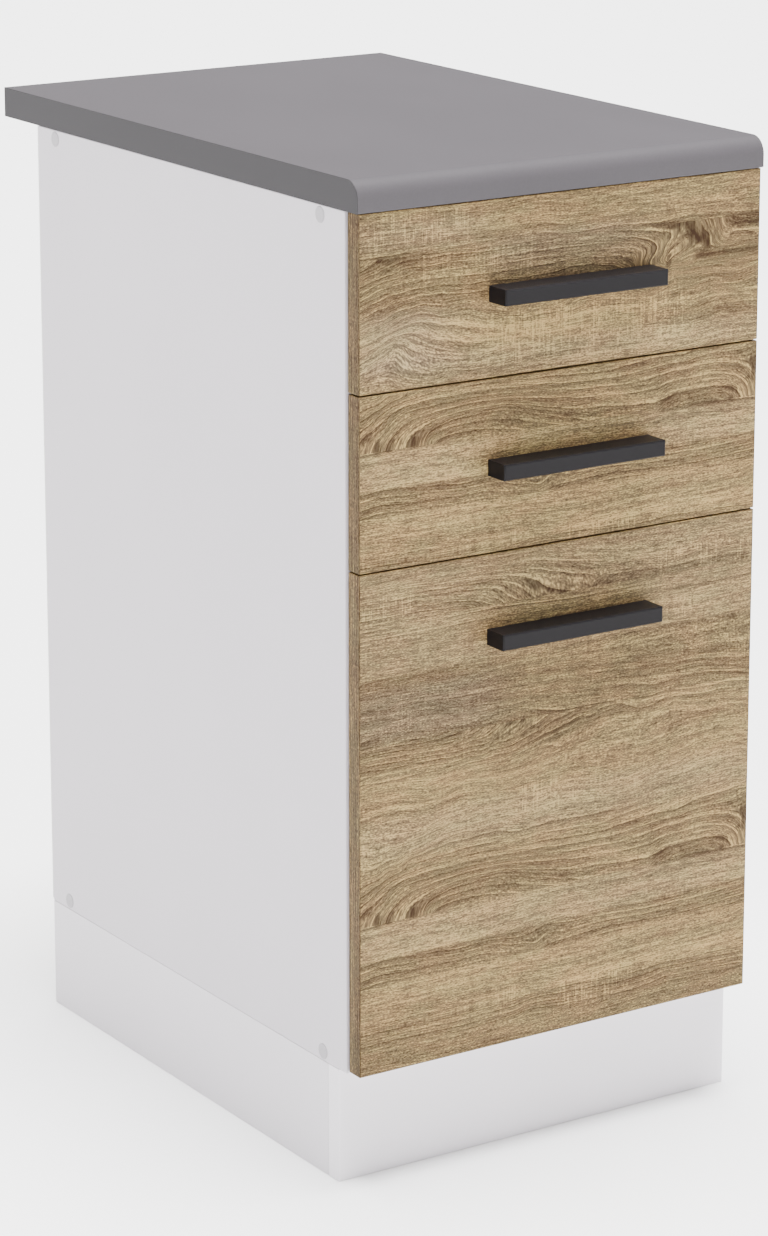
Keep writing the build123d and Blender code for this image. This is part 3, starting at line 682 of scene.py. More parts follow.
@dataclass
class Shell:
    """A closed surface put together from patches that meet at the same points."""

    name: str
    patches: list[Patch] = field(default_factory=list)

    def add(self, points: Points, **carried: Points) -> None:
        """Adds a patch.

        Args:
            points: rows x columns x 3, in metres.
            carried: rows x columns x 3 arrays that the corners carry, the same names in every patch.
        """
        self.patches.append(Patch(points, carried))

    def add_tube(self, sections: Sequence[Points], stations: Sequence[float]) -> None:
        """Adds a closed tube along X, with a fan over each end.

        Args:
            sections: outlines of (y, z) with the same number of points.
            stations: the x of each of them.
        """
        self.add(along_x([closed(section) for section in sections], stations))
        for x, section in ((stations[0], sections[0]), (stations[-1], sections[-1])):
            rim = np.column_stack([np.full(len(section), x), section])
            self.add(lid(closed(rim), rim.mean(axis=0)))

    def build(self, finish: Finish, crease: float = 30.0) -> bpy.types.Object:
        """Makes the mesh: four points of neighbouring rows and columns are one face.

        Args:
            finish: the finish of the whole surface.
            crease: the angle in degrees past which an edge is sharp.

        Returns:
            The new object, at the origin, welded and with its normals outward.
        """
        names = sorted(self.patches[0].carried)
        points, faces, start = [], [], 0
        carried = {name: [] for name in names}
        for patch in self.patches:
            rows, columns = patch.points.shape[:2]
            index = np.arange(rows * columns).reshape(rows, columns)
            corners = (index[:-1, :-1], index[:-1, 1:], index[1:, 1:], index[1:, :-1])
            quads = np.stack(corners, axis=-1).reshape(-1, 4)
            points.append(patch.points.reshape(-1, 3))
            faces.append(quads + start)
            for name in names:
                carried[name].append(patch.carried[name].reshape(-1, 3)[quads.ravel()])
            start += rows * columns
        mesh = bpy.data.meshes.new(self.name)
        mesh.from_pydata(np.concatenate(points), [], np.concatenate(faces))
        for name in names:
            layer = mesh.attributes.new(name, "FLOAT_VECTOR", "CORNER")
            layer.data.foreach_set("vector", np.concatenate(carried[name]).astype(np.float32).ravel())
        self._weld(mesh)
        mesh.set_sharp_from_angle(angle=math.radians(crease))
        mesh.materials.append(finish.material())
        return linked(self.name, mesh)

    def _weld(self, mesh: bpy.types.Mesh) -> None:
        """Joins the patches where they meet and turns every face outwards.

        Args:
            mesh: the new mesh.
        """
        work = bmesh.new()
        work.from_mesh(mesh)
        bmesh.ops.remove_doubles(work, verts=work.verts, dist=PATCH_GAP)
        bmesh.ops.recalc_face_normals(work, faces=work.faces)
        work.to_mesh(mesh)
        work.free()
        mesh.shade_smooth()


def set_in_place(piece: bpy.types.Object, body: str, node: str) -> None:
    """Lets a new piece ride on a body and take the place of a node.

    Args:
        piece: the piece, already where it belongs.
        body: the body that it moves with.
        node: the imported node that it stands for.
    """
    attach(piece, body)
    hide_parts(node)
    LOG.info("%s: %d faces on %s, for %s", piece.name, len(piece.data.polygons), body, node)


def box_of(node: str) -> tuple[Vector, Vector]:
    """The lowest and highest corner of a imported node."""
    low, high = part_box(node)
    return Vector(low), Vector(high)


def arc(centre: tuple[float, float], radius: float, start: float, end: float, steps: int) -> Points:
    """Points on a circle: centre plus radius times (cosine, sine) of angles from start to end, in degrees."""
    angles = np.radians(np.linspace(start, end, steps + 1))
    return np.stack([centre[0] + radius * np.cos(angles), centre[1] + radius * np.sin(angles)], axis=-1)


def leftward(edges: Points) -> Points:
    """Directions turned a quarter circle to the left: (u, v) becomes (-v, u)."""
    return np.stack([-edges[:, 1], edges[:, 0]], axis=-1)


def inset(loop: Points, distance: float) -> Points:
    """A closed counter-clockwise outline moved inwards.

    Each point moves along the mean of its two edges' inward normals, by distance over the cosine of half
    the turn, so that straight edges move by exactly distance.

    Args:
        loop: n x 2 points.
        distance: in metres.

    Returns:
        The n moved points.
    """
    before = loop - np.roll(loop, 1, axis=0)
    after = np.roll(loop, -1, axis=0) - loop
    unit_before = before / np.linalg.norm(before, axis=1, keepdims=True)
    unit_after = after / np.linalg.norm(after, axis=1, keepdims=True)
    normal = leftward(unit_before) + leftward(unit_after)
    normal /= np.linalg.norm(normal, axis=1, keepdims=True)
    half = np.sum(normal * leftward(unit_before), axis=1, keepdims=True)
    return loop + normal * distance / np.maximum(half, SHARPEST)


def along_x(sections: Sequence[Points], stations: Sequence[float]) -> Points:
    """A tube along X: section number i, points of (y, z), stands at station number i."""
    rows = [np.column_stack([np.full(len(section), x), section]) for section, x in zip(sections, stations)]
    return np.stack(rows)


def closed(loop: Points) -> Points:
    """A loop with its first point again at its end."""
    return np.concatenate([loop, loop[:1]])


def lid(rim: Points, centre: Points) -> Points:
    """A fan from a rim of points to one centre, as a grid of two rows."""
    return np.stack([rim, np.broadcast_to(centre, rim.shape)])


def spaced(low: float, high: float, cell: float) -> Points:
    """Evenly spaced stations from low to high, about a cell apart."""
    return np.linspace(low, high, max(1, round((high - low) / cell)) + 1)


# ---- the decor sheet ----------------------------------------------------------------------------
Trace = tuple[tuple[float, float], ...]  # points (x, height above the floor) in millimetres
SPLINE_REACH = 50.0  # millimetres that count as 1 in the decor's spline
THINNEST = 0.2  # millimetres; a thinner part of a stave gets no points of its own
SAW_LIMIT = 1.3  # what the strengths of overlapping saw marks add up to at most
OUTSIDE, INSIDE = -5.0, 8.0  # millimetres inside a figure, past which depths aren't told apart


def path(*numbers: float) -> Trace:
    """A trace from its points' numbers: x, height, x, height and so on."""
    return tuple(zip(numbers[::2], numbers[1::2]))


@dataclass(frozen=True)
class Stave:
    """One strip of the decor, between two straight joints, in millimetres above the floor."""

    low: float
    high: float
    tone: float
    vein: float = 0.2
    speckle: float = 0.1
    line_spacing: float = 8.0
    lines: tuple[Trace, ...] = ()  # growth lines, from the lowest up

    def heights(self) -> Points:
        """A height across the grain for each traced line.

        The first one's is its mean height. Each line stands above the one before it by the median of the
        gaps between them at stations along x, but by at least 1 mm.

        Returns:
            The heights in millimetres.
        """
        stations = np.linspace(-200.0, 200.0, 81)
        rows = np.array([np.interp(stations, *np.transpose(sorted(line)), left=np.nan, right=np.nan)
                         for line in self.lines])
        gaps = np.maximum(np.nanmedian(np.diff(rows, axis=0), axis=1), 1.0)
        return np.nanmean(rows[0]) + np.concatenate([[0.0], np.cumsum(gaps)])

    def field(self, x: Points, z: Points) -> tuple[Points, Points]:
        """Height across the grain and growth line number at points.

        A thin plate spline passes close to the traced lines, where both are the line's own. Without traced
        lines both rise evenly with z, with slow waves of 1.5 and 0.8 mm along x.

        Args:
            x, z: grids of places in millimetres.

        Returns:
            The heights and the numbers on the grid.
        """
        if not self.lines:
            wave = 1.5 * np.sin(x / 61.0 + self.low) + 0.8 * np.sin(x / 23.0 + self.high)
            return z + wave, (z + wave) / self.line_spacing
        knots = np.array([point for line in self.lines for point in line], float)
        counts = [len(line) for line in self.lines]
        numbers = np.repeat(np.arange(1, len(counts) + 1), counts)
        heights = np.repeat(self.heights(), counts)
        middle = knots.mean(axis=0)
        return thin_plate((knots - middle) / SPLINE_REACH, np.column_stack([heights, numbers]),
                          (x - middle[0]) / SPLINE_REACH, (z - middle[1]) / SPLINE_REACH)


def bending(squared: Points) -> Points:
    """A thin plate's height at squared distances from a load: r squared times the logarithm of r."""
    return 0.5 * squared * np.log(np.maximum(squared, 1e-12))


def thin_plate(knots: Points, values: Points, x: Points, z: Points, stiffness: float = 2e-4
               ) -> tuple[Points, Points]:
    """The thin plate spline that fits values at knots.

    It is a plane plus a weighted sum of the bending around each knot. The weights solve the linear system
    that makes it pass near the values.

    Args:
        knots: n x 2 places.
        values: n x 2 values.
        x, z: grids of the places asked for.
        stiffness: how far it may stay from the values; 0 goes through them.

    Returns:
        The two values on the grid.
    """
    count = len(knots)
    apart = ((knots[:, None, :] - knots[None, :, :]) ** 2).sum(axis=-1)
    plane = np.column_stack([np.ones(count), knots])
    system = np.zeros((count + 3, count + 3))
    system[:count, :count] = bending(apart) + stiffness * np.eye(count)
    system[:count, count:] = plane
    system[count:, :count] = plane.T
    weights = np.linalg.solve(system, np.concatenate([values, np.zeros((3, 2))]))
    places = np.stack([x.ravel(), z.ravel()], axis=-1)
    distance = ((places[:, None, :] - knots[None, :, :]) ** 2).sum(axis=-1)
    result = bending(distance) @ weights[:count]
    result += np.column_stack([np.ones(len(places)), places]) @ weights[count:]
    return result[:, 0].reshape(x.shape), result[:, 1].reshape(x.shape)


def plateau(value: Points, low: float, high: float, edge: float) -> Points:
    """1 from low to high and 0 outside: the product of two logistic steps, each about an edge wide."""
    rise = 1 / (1 + np.exp(np.clip((low - value) * 4 / edge, -60, 60)))
    return rise / (1 + np.exp(np.clip((value - high) * 4 / edge, -60, 60)))


@dataclass(frozen=True)
class Mark:
    """A soft-edged mark on the decor: a box from (left, low) to (right, high) in millimetres."""

    left: float
    right: float
    low: float
    high: float
    strength: float = 1.0
    softness: float = 4.0
    stretch: float = 4.0  # how much softer the ends are than the long edges

    def at(self, x: Points, z: Points) -> Points:
        """The mark's strength at points: the product of a plateau along each axis."""
        ends = plateau(x, self.left, self.right, self.softness * self.stretch)
        return self.strength * ends * plateau(z, self.low, self.high, self.softness)


def total(marks: Sequence[Mark], x: Points, z: Points) -> Points:
    """The summed strength of marks at points."""
    return np.sum([mark.at(x, z) for mark in marks], axis=0)


@dataclass(frozen=True)
class Figure:
    """A crisp figure in the decor, in millimetres: a closed outline, or a line that has a width."""

    points: Trace
    width: float = 0.0

    def depth(self, x: Points, z: Points) -> Points:
        """How deep inside the figure points lie, in millimetres, and negative outside.

        It is the distance to the nearest side. A line's is half its width less that distance. Inside an
        outline, an odd number of its sides lies to the right of a point.

        Args:
            x, z: grids of places in millimetres.

        Returns:
            The depths on the grid.
        """
        knots = np.array(self.points, float)
        begin, end = (knots[:-1], knots[1:]) if self.width else (knots, np.roll(knots, -1, axis=0))
        side, at = end - begin, np.stack([x, z], axis=-1)[..., None, :]
        share = np.clip(((at - begin) * side).sum(axis=-1) / (side ** 2).sum(axis=-1), 0.0, 1.0)
        away = np.linalg.norm(at - begin - share[..., None] * side, axis=-1).min(axis=-1)
        if self.width:
            return self.width / 2 - away
        crossed = (begin[:, 1] > at[..., 1]) != (end[:, 1] > at[..., 1])
        rise = np.where(side[:, 1] == 0, 1.0, side[:, 1])
        meets = begin[:, 0] + (at[..., 1] - begin[:, 1]) / rise * side[:, 0]
        inside = (crossed & (at[..., 0] < meets)).sum(axis=-1) % 2 == 1
        return np.where(inside, away, -away)


def deepest(figures: Sequence[Figure], x: Points, z: Points) -> Points:
    """How deep points lie in the figure that they are deepest in, kept from OUTSIDE to INSIDE."""
    return np.clip(np.max([figure.depth(x, z) for figure in figures], axis=0), OUTSIDE, INSIDE)


def shape(*numbers: float, width: float = 0.0) -> Figure:
    """A figure from its points' numbers, as in path."""
    return Figure(path(*numbers), width)


UPPER_STAVES = (
    Stave(660, 782, tone=0.76, vein=0.2, speckle=0.2, lines=(
        path(-200, 680, -110, 678, 0, 679, 100, 678, 200, 680),
        path(-166, 700, -156, 692, -145, 687.5, -125, 685, -60, 687, 0, 689, 80, 687, 200, 690),
        path(-163, 712, -150, 707, -138, 702, -120, 696.5, -105, 693.5, -85, 692.5, -40, 695, 40, 696,
             120, 695, 200, 697),
        path(-150, 720, -135, 715, -110, 709, -80, 705, -40, 705, 40, 706, 120, 705, 200, 707),
        path(-140, 728, -110, 722, -80, 716.5, -40, 713, 0, 714, 60, 716, 130, 716, 200, 718),
        path(-130, 733, -100, 730, -80, 725.5, -60, 722, -40, 720, 0, 721, 60, 724, 110, 726, 160, 727,
             200, 729),
        path(-200, 729, -175, 733, -150, 740, -130, 740.5, -118, 738.5, -75, 738, 0, 736, 110, 736,
             150, 736, 200, 737),
        path(-200, 735, -180, 742, -160, 747, -140, 749.5, -120, 749, -75, 747, 0, 746, 66, 742, 105, 739,
             140, 740, 200, 741),
        path(-200, 742, -180, 748.5, -160, 753, -140, 755, -100, 754, -30, 754, 5, 757, 25, 757, 45, 754,
             62, 748, 72, 743, 100, 741.5, 130, 742.5, 200, 744),
        path(-200, 750, -180, 757, -160, 760.5, -140, 762, -80, 760.5, -40, 761, 10, 763, 40, 761.5,
             60, 758.5, 69, 752, 73, 745, 100, 743.5, 128, 745, 150, 746, 200, 747),
        path(-200, 756, -183, 761.5, -167, 765, -152, 767, -80, 767, -20, 768, 30, 768, 55, 767.5,
             68, 766, 76, 759, 77, 747, 104, 746, 128, 748, 150, 748.5, 200, 750),
        path(-200, 761, -185, 765.5, -167, 769, -137, 772, -80, 772.5, -20, 773.5, 30, 773, 60, 770.5,
             76, 768, 83, 763, 80, 755, 81, 747, 106, 748, 125, 750.5, 138, 751, 160, 751.5, 200, 752.5),
        path(-200, 766, -180, 772, -162, 777.5, -140, 779, -60, 778.5, 20, 778, 55, 776, 75, 773,
             88, 768.5, 92, 764.5, 89, 758, 88, 748, 110, 750, 124, 753, 136, 754, 160, 754.5, 200, 755),
        path(-200, 773, -185, 779, -176, 784, -60, 784, 20, 783, 60, 781.5, 84, 778.5, 96, 776.5,
             106.5, 770, 101, 764, 98, 757, 98.5, 749.5, 104, 748.5, 116, 753, 127, 757, 133, 758.5,
             141, 757, 160, 756.3, 200, 756.5),
        path(133, 785, 138, 778, 142, 773, 146, 769, 147, 764, 148, 760, 155, 758.3, 165, 757.7,
             200, 758),
        path(156, 785, 157, 778, 159, 774, 163, 771, 170, 770, 180, 769.5, 200, 769),
    )),
    Stave(782, 822, tone=0.75, vein=0.25, speckle=0.15, lines=(
        path(-200, 784, 0, 785, 200, 784), path(-200, 793, -100, 794, 0, 792, 100, 794, 200, 796),
        path(-200, 802, -100, 802, -60, 803, -20, 805, 40, 803.5, 120, 806, 200, 809),
        path(-200, 811, -60, 810, 40, 811, 120, 814, 200, 820),
    )),
)

LOWER_STAVES = (
    Stave(90, 120, tone=0.68, vein=0.25, speckle=0.6, line_spacing=7.0),
    Stave(120, 139.5, tone=0.75, vein=0.8, lines=(
        path(-200, 123, -160, 123.5, -100, 122.5, -60, 123.5, -35, 126, -17, 125.5, 4, 123.5, 60, 122,
             100, 124, 200, 122),
        path(-200, 128, -100, 126.5, -40, 129, -17, 131, 10, 129, 60, 127, 110, 131, 200, 127),
        path(-200, 133, -100, 131.5, -40, 133.5, 60, 131.5, 110, 135, 160, 134, 200, 133),
        path(-200, 138, -60, 137, 60, 137, 130, 138.5, 200, 137),
    )),
    Stave(139.5, 177.3, tone=0.82, vein=0.14, speckle=0.25, line_spacing=9.0),
    Stave(177.3, 199.5, tone=0.7, vein=0.7, lines=(
        path(-200, 178, -140, 180, -60, 177.5, -30, 176, 60, 179, 200, 180),
        path(-200, 184, -160, 186.5, -120, 185.7, -80, 185.7, -60, 183, -40, 180, -25, 178, 60, 184,
             200, 185),
        path(-200, 191.5, -180, 194, -100, 189.8, -60, 190.7, -40, 187, -27, 184, -17, 186.5, -10, 190,
             4, 189, 80, 188, 200, 190),
        path(-200, 196.5, -140, 198, -100, 195, -60, 195, -40, 193, -25, 195.7, 4, 197, 80, 193, 140, 192,
             200, 195),
    )),
    Stave(199.5, 231.3, tone=0.81, vein=0.1, speckle=0.2, line_spacing=8.0),
    Stave(231.3, 382.3, tone=0.78, vein=0.2, speckle=0.2, lines=(
        path(-133, 233, -128, 238.5, -110, 243, -80, 244.5, -60, 243, -40, 239.5, -25, 236, 0, 231),
        path(-137, 230, -135, 237, -130, 242, -120, 246, -100, 249.3, -80, 250.8, -60, 250.8, -40, 247.5,
             -20, 241.5, 0, 236, 20, 232),
        path(-154, 230, -152, 237, -145, 242.5, -136, 247.3, -120, 251.8, -100, 254.7, -80, 255.6,
             -60, 255.3, -40, 252.5, -20, 248, 0, 244.5, 20, 242, 45, 240.5, 70, 238.5, 96, 238, 110, 242,
             135, 243.8, 163, 243.4, 174, 240, 181, 233),
        path(-173, 230, -170, 238, -162, 246, -152, 251.7, -140, 255.2, -120, 258, -100, 259.7,
             -80, 260.3, -60, 260, -40, 258, -20, 255.5, 0, 254, 40, 251, 79, 249, 100, 251.5, 120, 254,
             150, 255, 176, 250, 188, 240, 190, 232),
        path(-187, 230, -184, 238, -176, 245, -168, 252, -158, 258, -145, 261.5, -120, 263.5, -80, 264.8,
             -40, 263, 0, 260, 79, 258, 113, 262, 139, 264, 170, 262, 190, 254, 199, 243),
        path(-200, 240.7, -190, 247.5, -178, 254, -168, 260.5, -156, 265, -140, 267, -100, 269, -40, 268,
             0, 265.5, 60, 264.5, 120, 268.5, 200, 274),
        path(-200, 248, -190, 253.5, -178, 261, -166, 266.8, -148, 270.5, -110, 273, -40, 272, 40, 270.5,
             120, 275, 200, 281),
        path(-200, 257, -185, 263.5, -170, 270, -150, 276, -120, 279.5, -60, 279, 40, 277, 200, 288),
        path(-200, 266, -180, 270.5, -160, 276.5, -130, 285.5, -110, 289, -60, 290, 40, 287, 200, 297),
        path(-200, 281, -170, 284.5, -140, 291, -100, 298, 0, 299, 200, 305),
        path(-200, 308, -100, 312, 0, 315, 100, 316, 200, 319),
        path(-200, 322, -160, 325, -100, 327, 0, 328, 36, 326.7, 79, 325.5, 119, 330, 200, 333),
        path(-200, 335, 0, 338, 100, 340, 200, 345),
        path(-200, 345, -100, 346, 0, 352, 40, 360, 100, 362, 200, 358),
        path(-200, 353, -120, 353, -60, 356, -33, 361, -17, 366, 0, 370, 20, 375.5, 40, 378, 63, 379,
             119, 378.5, 163, 375, 200, 371.5),
        path(-200, 359.5, -140, 359, -93, 359.5, -67, 361.5, -40, 365, -20, 371, 4, 378.5, 30, 381.5,
             80, 382, 120, 381.8, 160, 380, 200, 376.5),
        path(-200, 364, -120, 362.7, -100, 362.5, -73, 364, -53, 367, -40, 370, -23, 377, -10, 383),
        path(-200, 368, -120, 366.5, -100, 366.3, -80, 367.5, -67, 370, -53, 375, -42, 380, -36, 384),
        path(-200, 371.5, -120, 370, -100, 371, -80, 373, -68, 377, -62, 380.5, -59, 384),
        path(-200, 375.5, -140, 375, -120, 375, -100, 376.5, -87, 379, -77, 384),
        path(-200, 380, -140, 379.5, -120, 380, -105, 381.5, -96, 384),
    )),
    Stave(382.3, 440, tone=0.64, vein=0.1, speckle=0.6, lines=(
        path(-200, 388, 0, 384, 200, 378), path(-200, 401, -100, 399, 0, 396, 100, 390, 200, 384),
        path(-200, 415, -100, 413, 0, 411, 60, 409, 99, 408, 139, 406, 200, 400),
        path(-200, 426, -140, 426, -60, 424, 0, 423, 51, 421, 99, 419, 139, 417, 200, 414),
        path(-200, 431.5, -140, 431.5, -60, 429.5, 0, 429.5, 51, 429, 99, 430, 139, 428.5, 200, 430),
        path(-200, 437, -60, 436, 0, 436.5, 51, 438, 99, 442, 139, 441, 200, 446),
    )),
    Stave(440, 485, tone=0.76, vein=0.16, speckle=0.15, line_spacing=7.5),
    Stave(485, 530, tone=0.75, vein=0.28, speckle=0.1, lines=(
        path(-200, 490, -158, 490.5, -133, 490, -110, 489.5, -95, 488, -83, 484),
        path(-200, 495, -140, 495, -115, 494, -95, 492, -78, 488.5, -67, 484),
        path(-200, 500, -140, 500, -120, 498, -100, 497, -83, 495.5, -70, 491, -57, 484),
        path(-200, 503.5, -140, 503.5, -100, 501.5, -80, 500.5, -66, 498.5, -58, 494, -51, 489, -42, 484),
        path(-200, 507, -140, 507, -100, 506.5, -73, 505, -58, 502.5, -47, 499, -38, 493, -27, 484),
        path(-200, 510, -100, 509.5, -60, 508, -40, 504, -27, 500, -17, 493, 4, 486, 30, 482),
        path(-200, 514, -60, 512, -20, 507.5, 0, 502.5, 20, 498, 40, 494, 80, 492.5, 150, 493,
             200, 492.5),
        path(-200, 518, -60, 517, 0, 512, 40, 506, 100, 500.5, 200, 502),
        path(-200, 524, -60, 524, 0, 520, 60, 513, 200, 512), path(-200, 531, 0, 528, 100, 522, 200, 521),
    )),
)

SAW_MARKS = (
    Mark(-190, -94, 788, 817, 0.8, 4, 1), Mark(-139, -33, 758, 781, 0.6, 4, 1),
    Mark(-76, 122, 683, 727, 0.8, 7, 1), Mark(-196, -147, 490, 506, 0.9, 4, 1),
    Mark(100, 200, 486, 507, 0.75, 4, 1), Mark(-42, 18, 302, 326, 0.9, 4, 1),
    Mark(116, 158, 445, 463, 0.5, 4, 1), Mark(170, 196, 396, 418, 0.5, 4, 1),
    Mark(-180, -148, 386, 422, 0.5, 4, 1), Mark(2, 78, 121, 145, 0.9, 4, 1),
    Mark(-62, -42, 134, 152, 0.7, 4, 1),
)
FIGURED_PATCHES = (
    Mark(-215, -95, 734, 790, 0.6, 8.0), Mark(-95, 60, 744, 790, 0.45, 8.0),
    Mark(60, 100, 742, 790, 0.8, 6.0), Mark(100, 215, 734, 790, 0.3, 6.0),
    Mark(-170, -80, 676, 722, 0.22, 8.0), Mark(-215, 30, 470, 513, 0.6, 5.0),
    Mark(30, 215, 470, 494, 0.3, 5.0), Mark(-215, 10, 351, 390, 0.6, 5.0),
    Mark(-30, 215, 368, 390, 0.5, 5.0), Mark(-215, 60, 225, 292, 0.55, 8.0),
    Mark(60, 215, 225, 284, 0.5, 8.0), Mark(50, 215, 384, 442, 0.3, 6.0),
    Mark(-215, -60, 424, 442, 0.3, 5.0),
)
TONE_PATCHES = (
    Mark(-75, 75, 743, 790, -0.05, 9.0), Mark(75, 215, 738, 790, -0.06, 8.0),
    Mark(-215, -95, 736, 785, -0.08, 8.0), Mark(-215, 215, 674, 725, 0.04, 9.0),
    Mark(-215, 215, 276, 322, 0.04, 9.0), Mark(-215, -40, 384, 424, -0.08, 9.0),
    Mark(-182, -128, 773, 785, -0.12, 3.0), Mark(-20, 60, 746, 756, -0.14, 6.0),
    Mark(98, 177, 228, 243, -0.2, 1.6, 2.0), Mark(-128, -36, 234, 247, -0.1, 3.0, 3.0),
    Mark(100, 130, 750, 772, 0.1, 4.0, 1.0), Mark(132, 215, 748, 757, -0.12, 3.0),
    Mark(90, 215, 690, 740, -0.07, 12.0), Mark(136, 158, 768, 785, -0.1, 3.0, 1.0),
    Mark(60, 215, 246, 270, -0.08, 8.0), Mark(-215, 20, 236, 268, -0.08, 9.0),
    Mark(-215, 40, 360, 384, -0.13, 6.0),
    Mark(20, 215, 484, 492, -0.17, 3.0), Mark(-215, -110, 428, 442, -0.06, 5.0),
    Mark(-60, 215, 382, 442, 0.04, 9.0), Mark(-215, 215, 384, 392, 0.03, 6.0),
    Mark(-215, 215, 121, 138, -0.04, 4.0), Mark(-215, 215, 144, 174, -0.02, 6.0),
)
GREY_PATCHES = (
    Mark(-198, -118, 690, 738, 0.6, 12.0), Mark(-215, -60, 384, 430, 0.5, 12.0),
    Mark(-215, 215, 676, 700, 0.3, 12.0), Mark(-215, 215, 285, 320, 0.25, 12.0),
    Mark(-215, 215, 200, 231, 0.2, 6.0), Mark(-215, -80, 786, 812, 0.3, 9.0),
    Mark(-75, 75, 743, 790, 0.45, 9.0), Mark(-215, 215, 440, 530, 0.2, 9.0),
)
DARK_FIGURES = (
    shape(116, 784, 119, 779, 121.5, 776, 123.5, 771, 127, 767.5, 132, 765.5, 137, 763.5, 140.5, 760.5,
          141, 756.5, 146.5, 757, 147, 762, 145.5, 766, 142, 769, 137, 772, 133, 776, 130, 784),
    shape(79, 782, 86, 781.3, 93, 780, 99, 779, 106, 776.5, 113, 777, 117, 780, 116, 784, 80, 784),
    shape(159, 784, 160.5, 778, 163, 774, 168, 772, 180, 771.5, 205, 771.5, 205, 784),
    shape(99.5, 744, 105, 744, 108, 751, 106, 761, 101.5, 757, 101, 750),
    shape(131, 757, 137, 757.5, 146, 756, 170, 755, 205, 755.5, 205, 751, 150, 750.5, 131, 750),
    shape(-182, 779.5, -168, 780.5, -150, 781, -124, 781.5, width=2.0),
    shape(-205, 764, -192, 769.5, -185, 772.5, -167, 776.5, -150, 779, width=1.8),
    shape(-153, 766.5, -146, 767.5, -138, 767.3, width=2.0), shape(-131, 740, -121, 738.5, width=2.0),
    shape(-36, 766, -16, 766.4, 0, 766, width=1.6), shape(-205, 783, -196, 782, -197, 776, -205, 775),
    shape(-205, 236, -198, 237, -192, 240, -186, 244, -183, 248, -188, 250, -194, 247, -205, 243),
    shape(-185.5, 229, -184.5, 236, -182, 240, -179.5, 240, -177.5, 237, -177, 229),
    shape(-175, 230, -173.5, 234, -170.5, 237.5, -167.5, 241.5, -164.5, 240.5, -164, 235.5, -167, 229),
    shape(-150.5, 229, -149.5, 236, -147.5, 240, -142, 240, -139.5, 236.5, -141.5, 229),
    shape(-133.5, 230, -134, 234.5, -131, 239, -126, 242, -121, 243.5, width=3.6),
    shape(-159, 236.3, -157, 235.7, width=2.6),
    shape(94, 238.3, 105, 241.5, 115, 243.8, 125, 244.2, 145, 244, 163, 244.6, 170, 242.8, 175, 241,
          178, 238.3, 176, 236.3, 177.5, 233, 181, 229.5, width=1.7),
    shape(95, 238, 101, 240.5, 109, 241, 112, 239, 104, 237),
    shape(160, 243.5, 170, 242.3, 176.5, 239.5, 175, 237, 168, 239.5),
    shape(-134, 236, -131.5, 241, -125, 245.6, -114.5, 248.1, -101, 249.4, -90, 250.2, -68, 249.9,
          -49, 246.7, -37, 243.7, -25, 239.5, -14, 236.5, 0, 234.4, 12, 232.5, width=1.5),
    shape(-190, 245, -185, 249.5, -180, 253, -170, 259, -160, 263, -148, 266, width=1.8),
    shape(184, 247, 190, 250, 190, 257, 186, 262, 192, 266, 205, 267, 205, 247, 197, 244, 190, 245),
    shape(-45, 502.7, -35, 501.3, -27, 499.2, -21.5, 496.8, -19.5, 494.5, -14, 493.2, -9, 491.7,
          -2, 489.6, 3, 487.2, 9, 483, -4, 483, -8, 487, -14, 489.7, -28, 490, -34, 494.5, -40, 499),
    shape(-66, 490, -61, 487, -57, 483, width=2.6), shape(-40, 492, -34, 489, -28, 484, width=3.0),
    shape(-96, 489.3, -88, 488, -82, 485.5, width=2.0),
    shape(-168, 381.3, -150, 380.8, -122, 381.6, width=2.0), shape(-112, 380.3, -98, 381.3, width=2.2),
    shape(-54, 380, -46, 381.3, -36, 381.7, width=2.6),
    shape(-108.5, 370.7, -100, 373.5, -91, 375.7, -85, 379.5, width=1.6),
    shape(-104, 369.3, -88.5, 369.4, -77, 372, -70.7, 375, -66, 379, width=1.6),
    shape(-104, 366.4, -83, 367.6, -67, 370, -51.5, 373.5, -44, 378, width=1.6),
    shape(-70, 366, -51.5, 366.6, -40, 368, -30, 370, -15.7, 374.3, -4.3, 378, 7, 380, 22, 382,
          width=1.6),
    shape(42, 374.6, 74, 375.4, 106, 374, 134, 373.6, 154, 373.4, 172, 371.8, 200, 369.5, width=1.5),
    shape(-90, 505.5, -70, 505.2, -57, 504.5, -48, 503.6, -40, 502.2, -32, 500.5, width=1.6),
    shape(-62, 500.6, -50, 497.6, -45, 495, -40, 491.3, -34, 488, width=1.6),
    shape(-96, 495.6, -82.5, 494.3, -76, 493, -70, 490.6, -64, 487.5, width=1.6),
    shape(-69, 497.5, -60, 495, -55, 490, -50, 486.5, width=1.3),
    shape(50, 427, 60, 429.3, 74, 433, 88.6, 435, 104, 436.6, width=1.5),
    shape(136, 425.7, 143, 427, 154, 429.3, 166, 434.3, 179, 438, 192, 440, width=1.6),
    shape(162, 426.2, 177, 430, 192, 434.8, width=1.3), shape(100.7, 424.3, 114, 422, width=1.8),
    shape(70, 251.7, 80, 252.2, 93, 252.6, width=2.0),
    shape(116, 266.6, 128, 267.5, 139, 268.2, width=1.8),
)
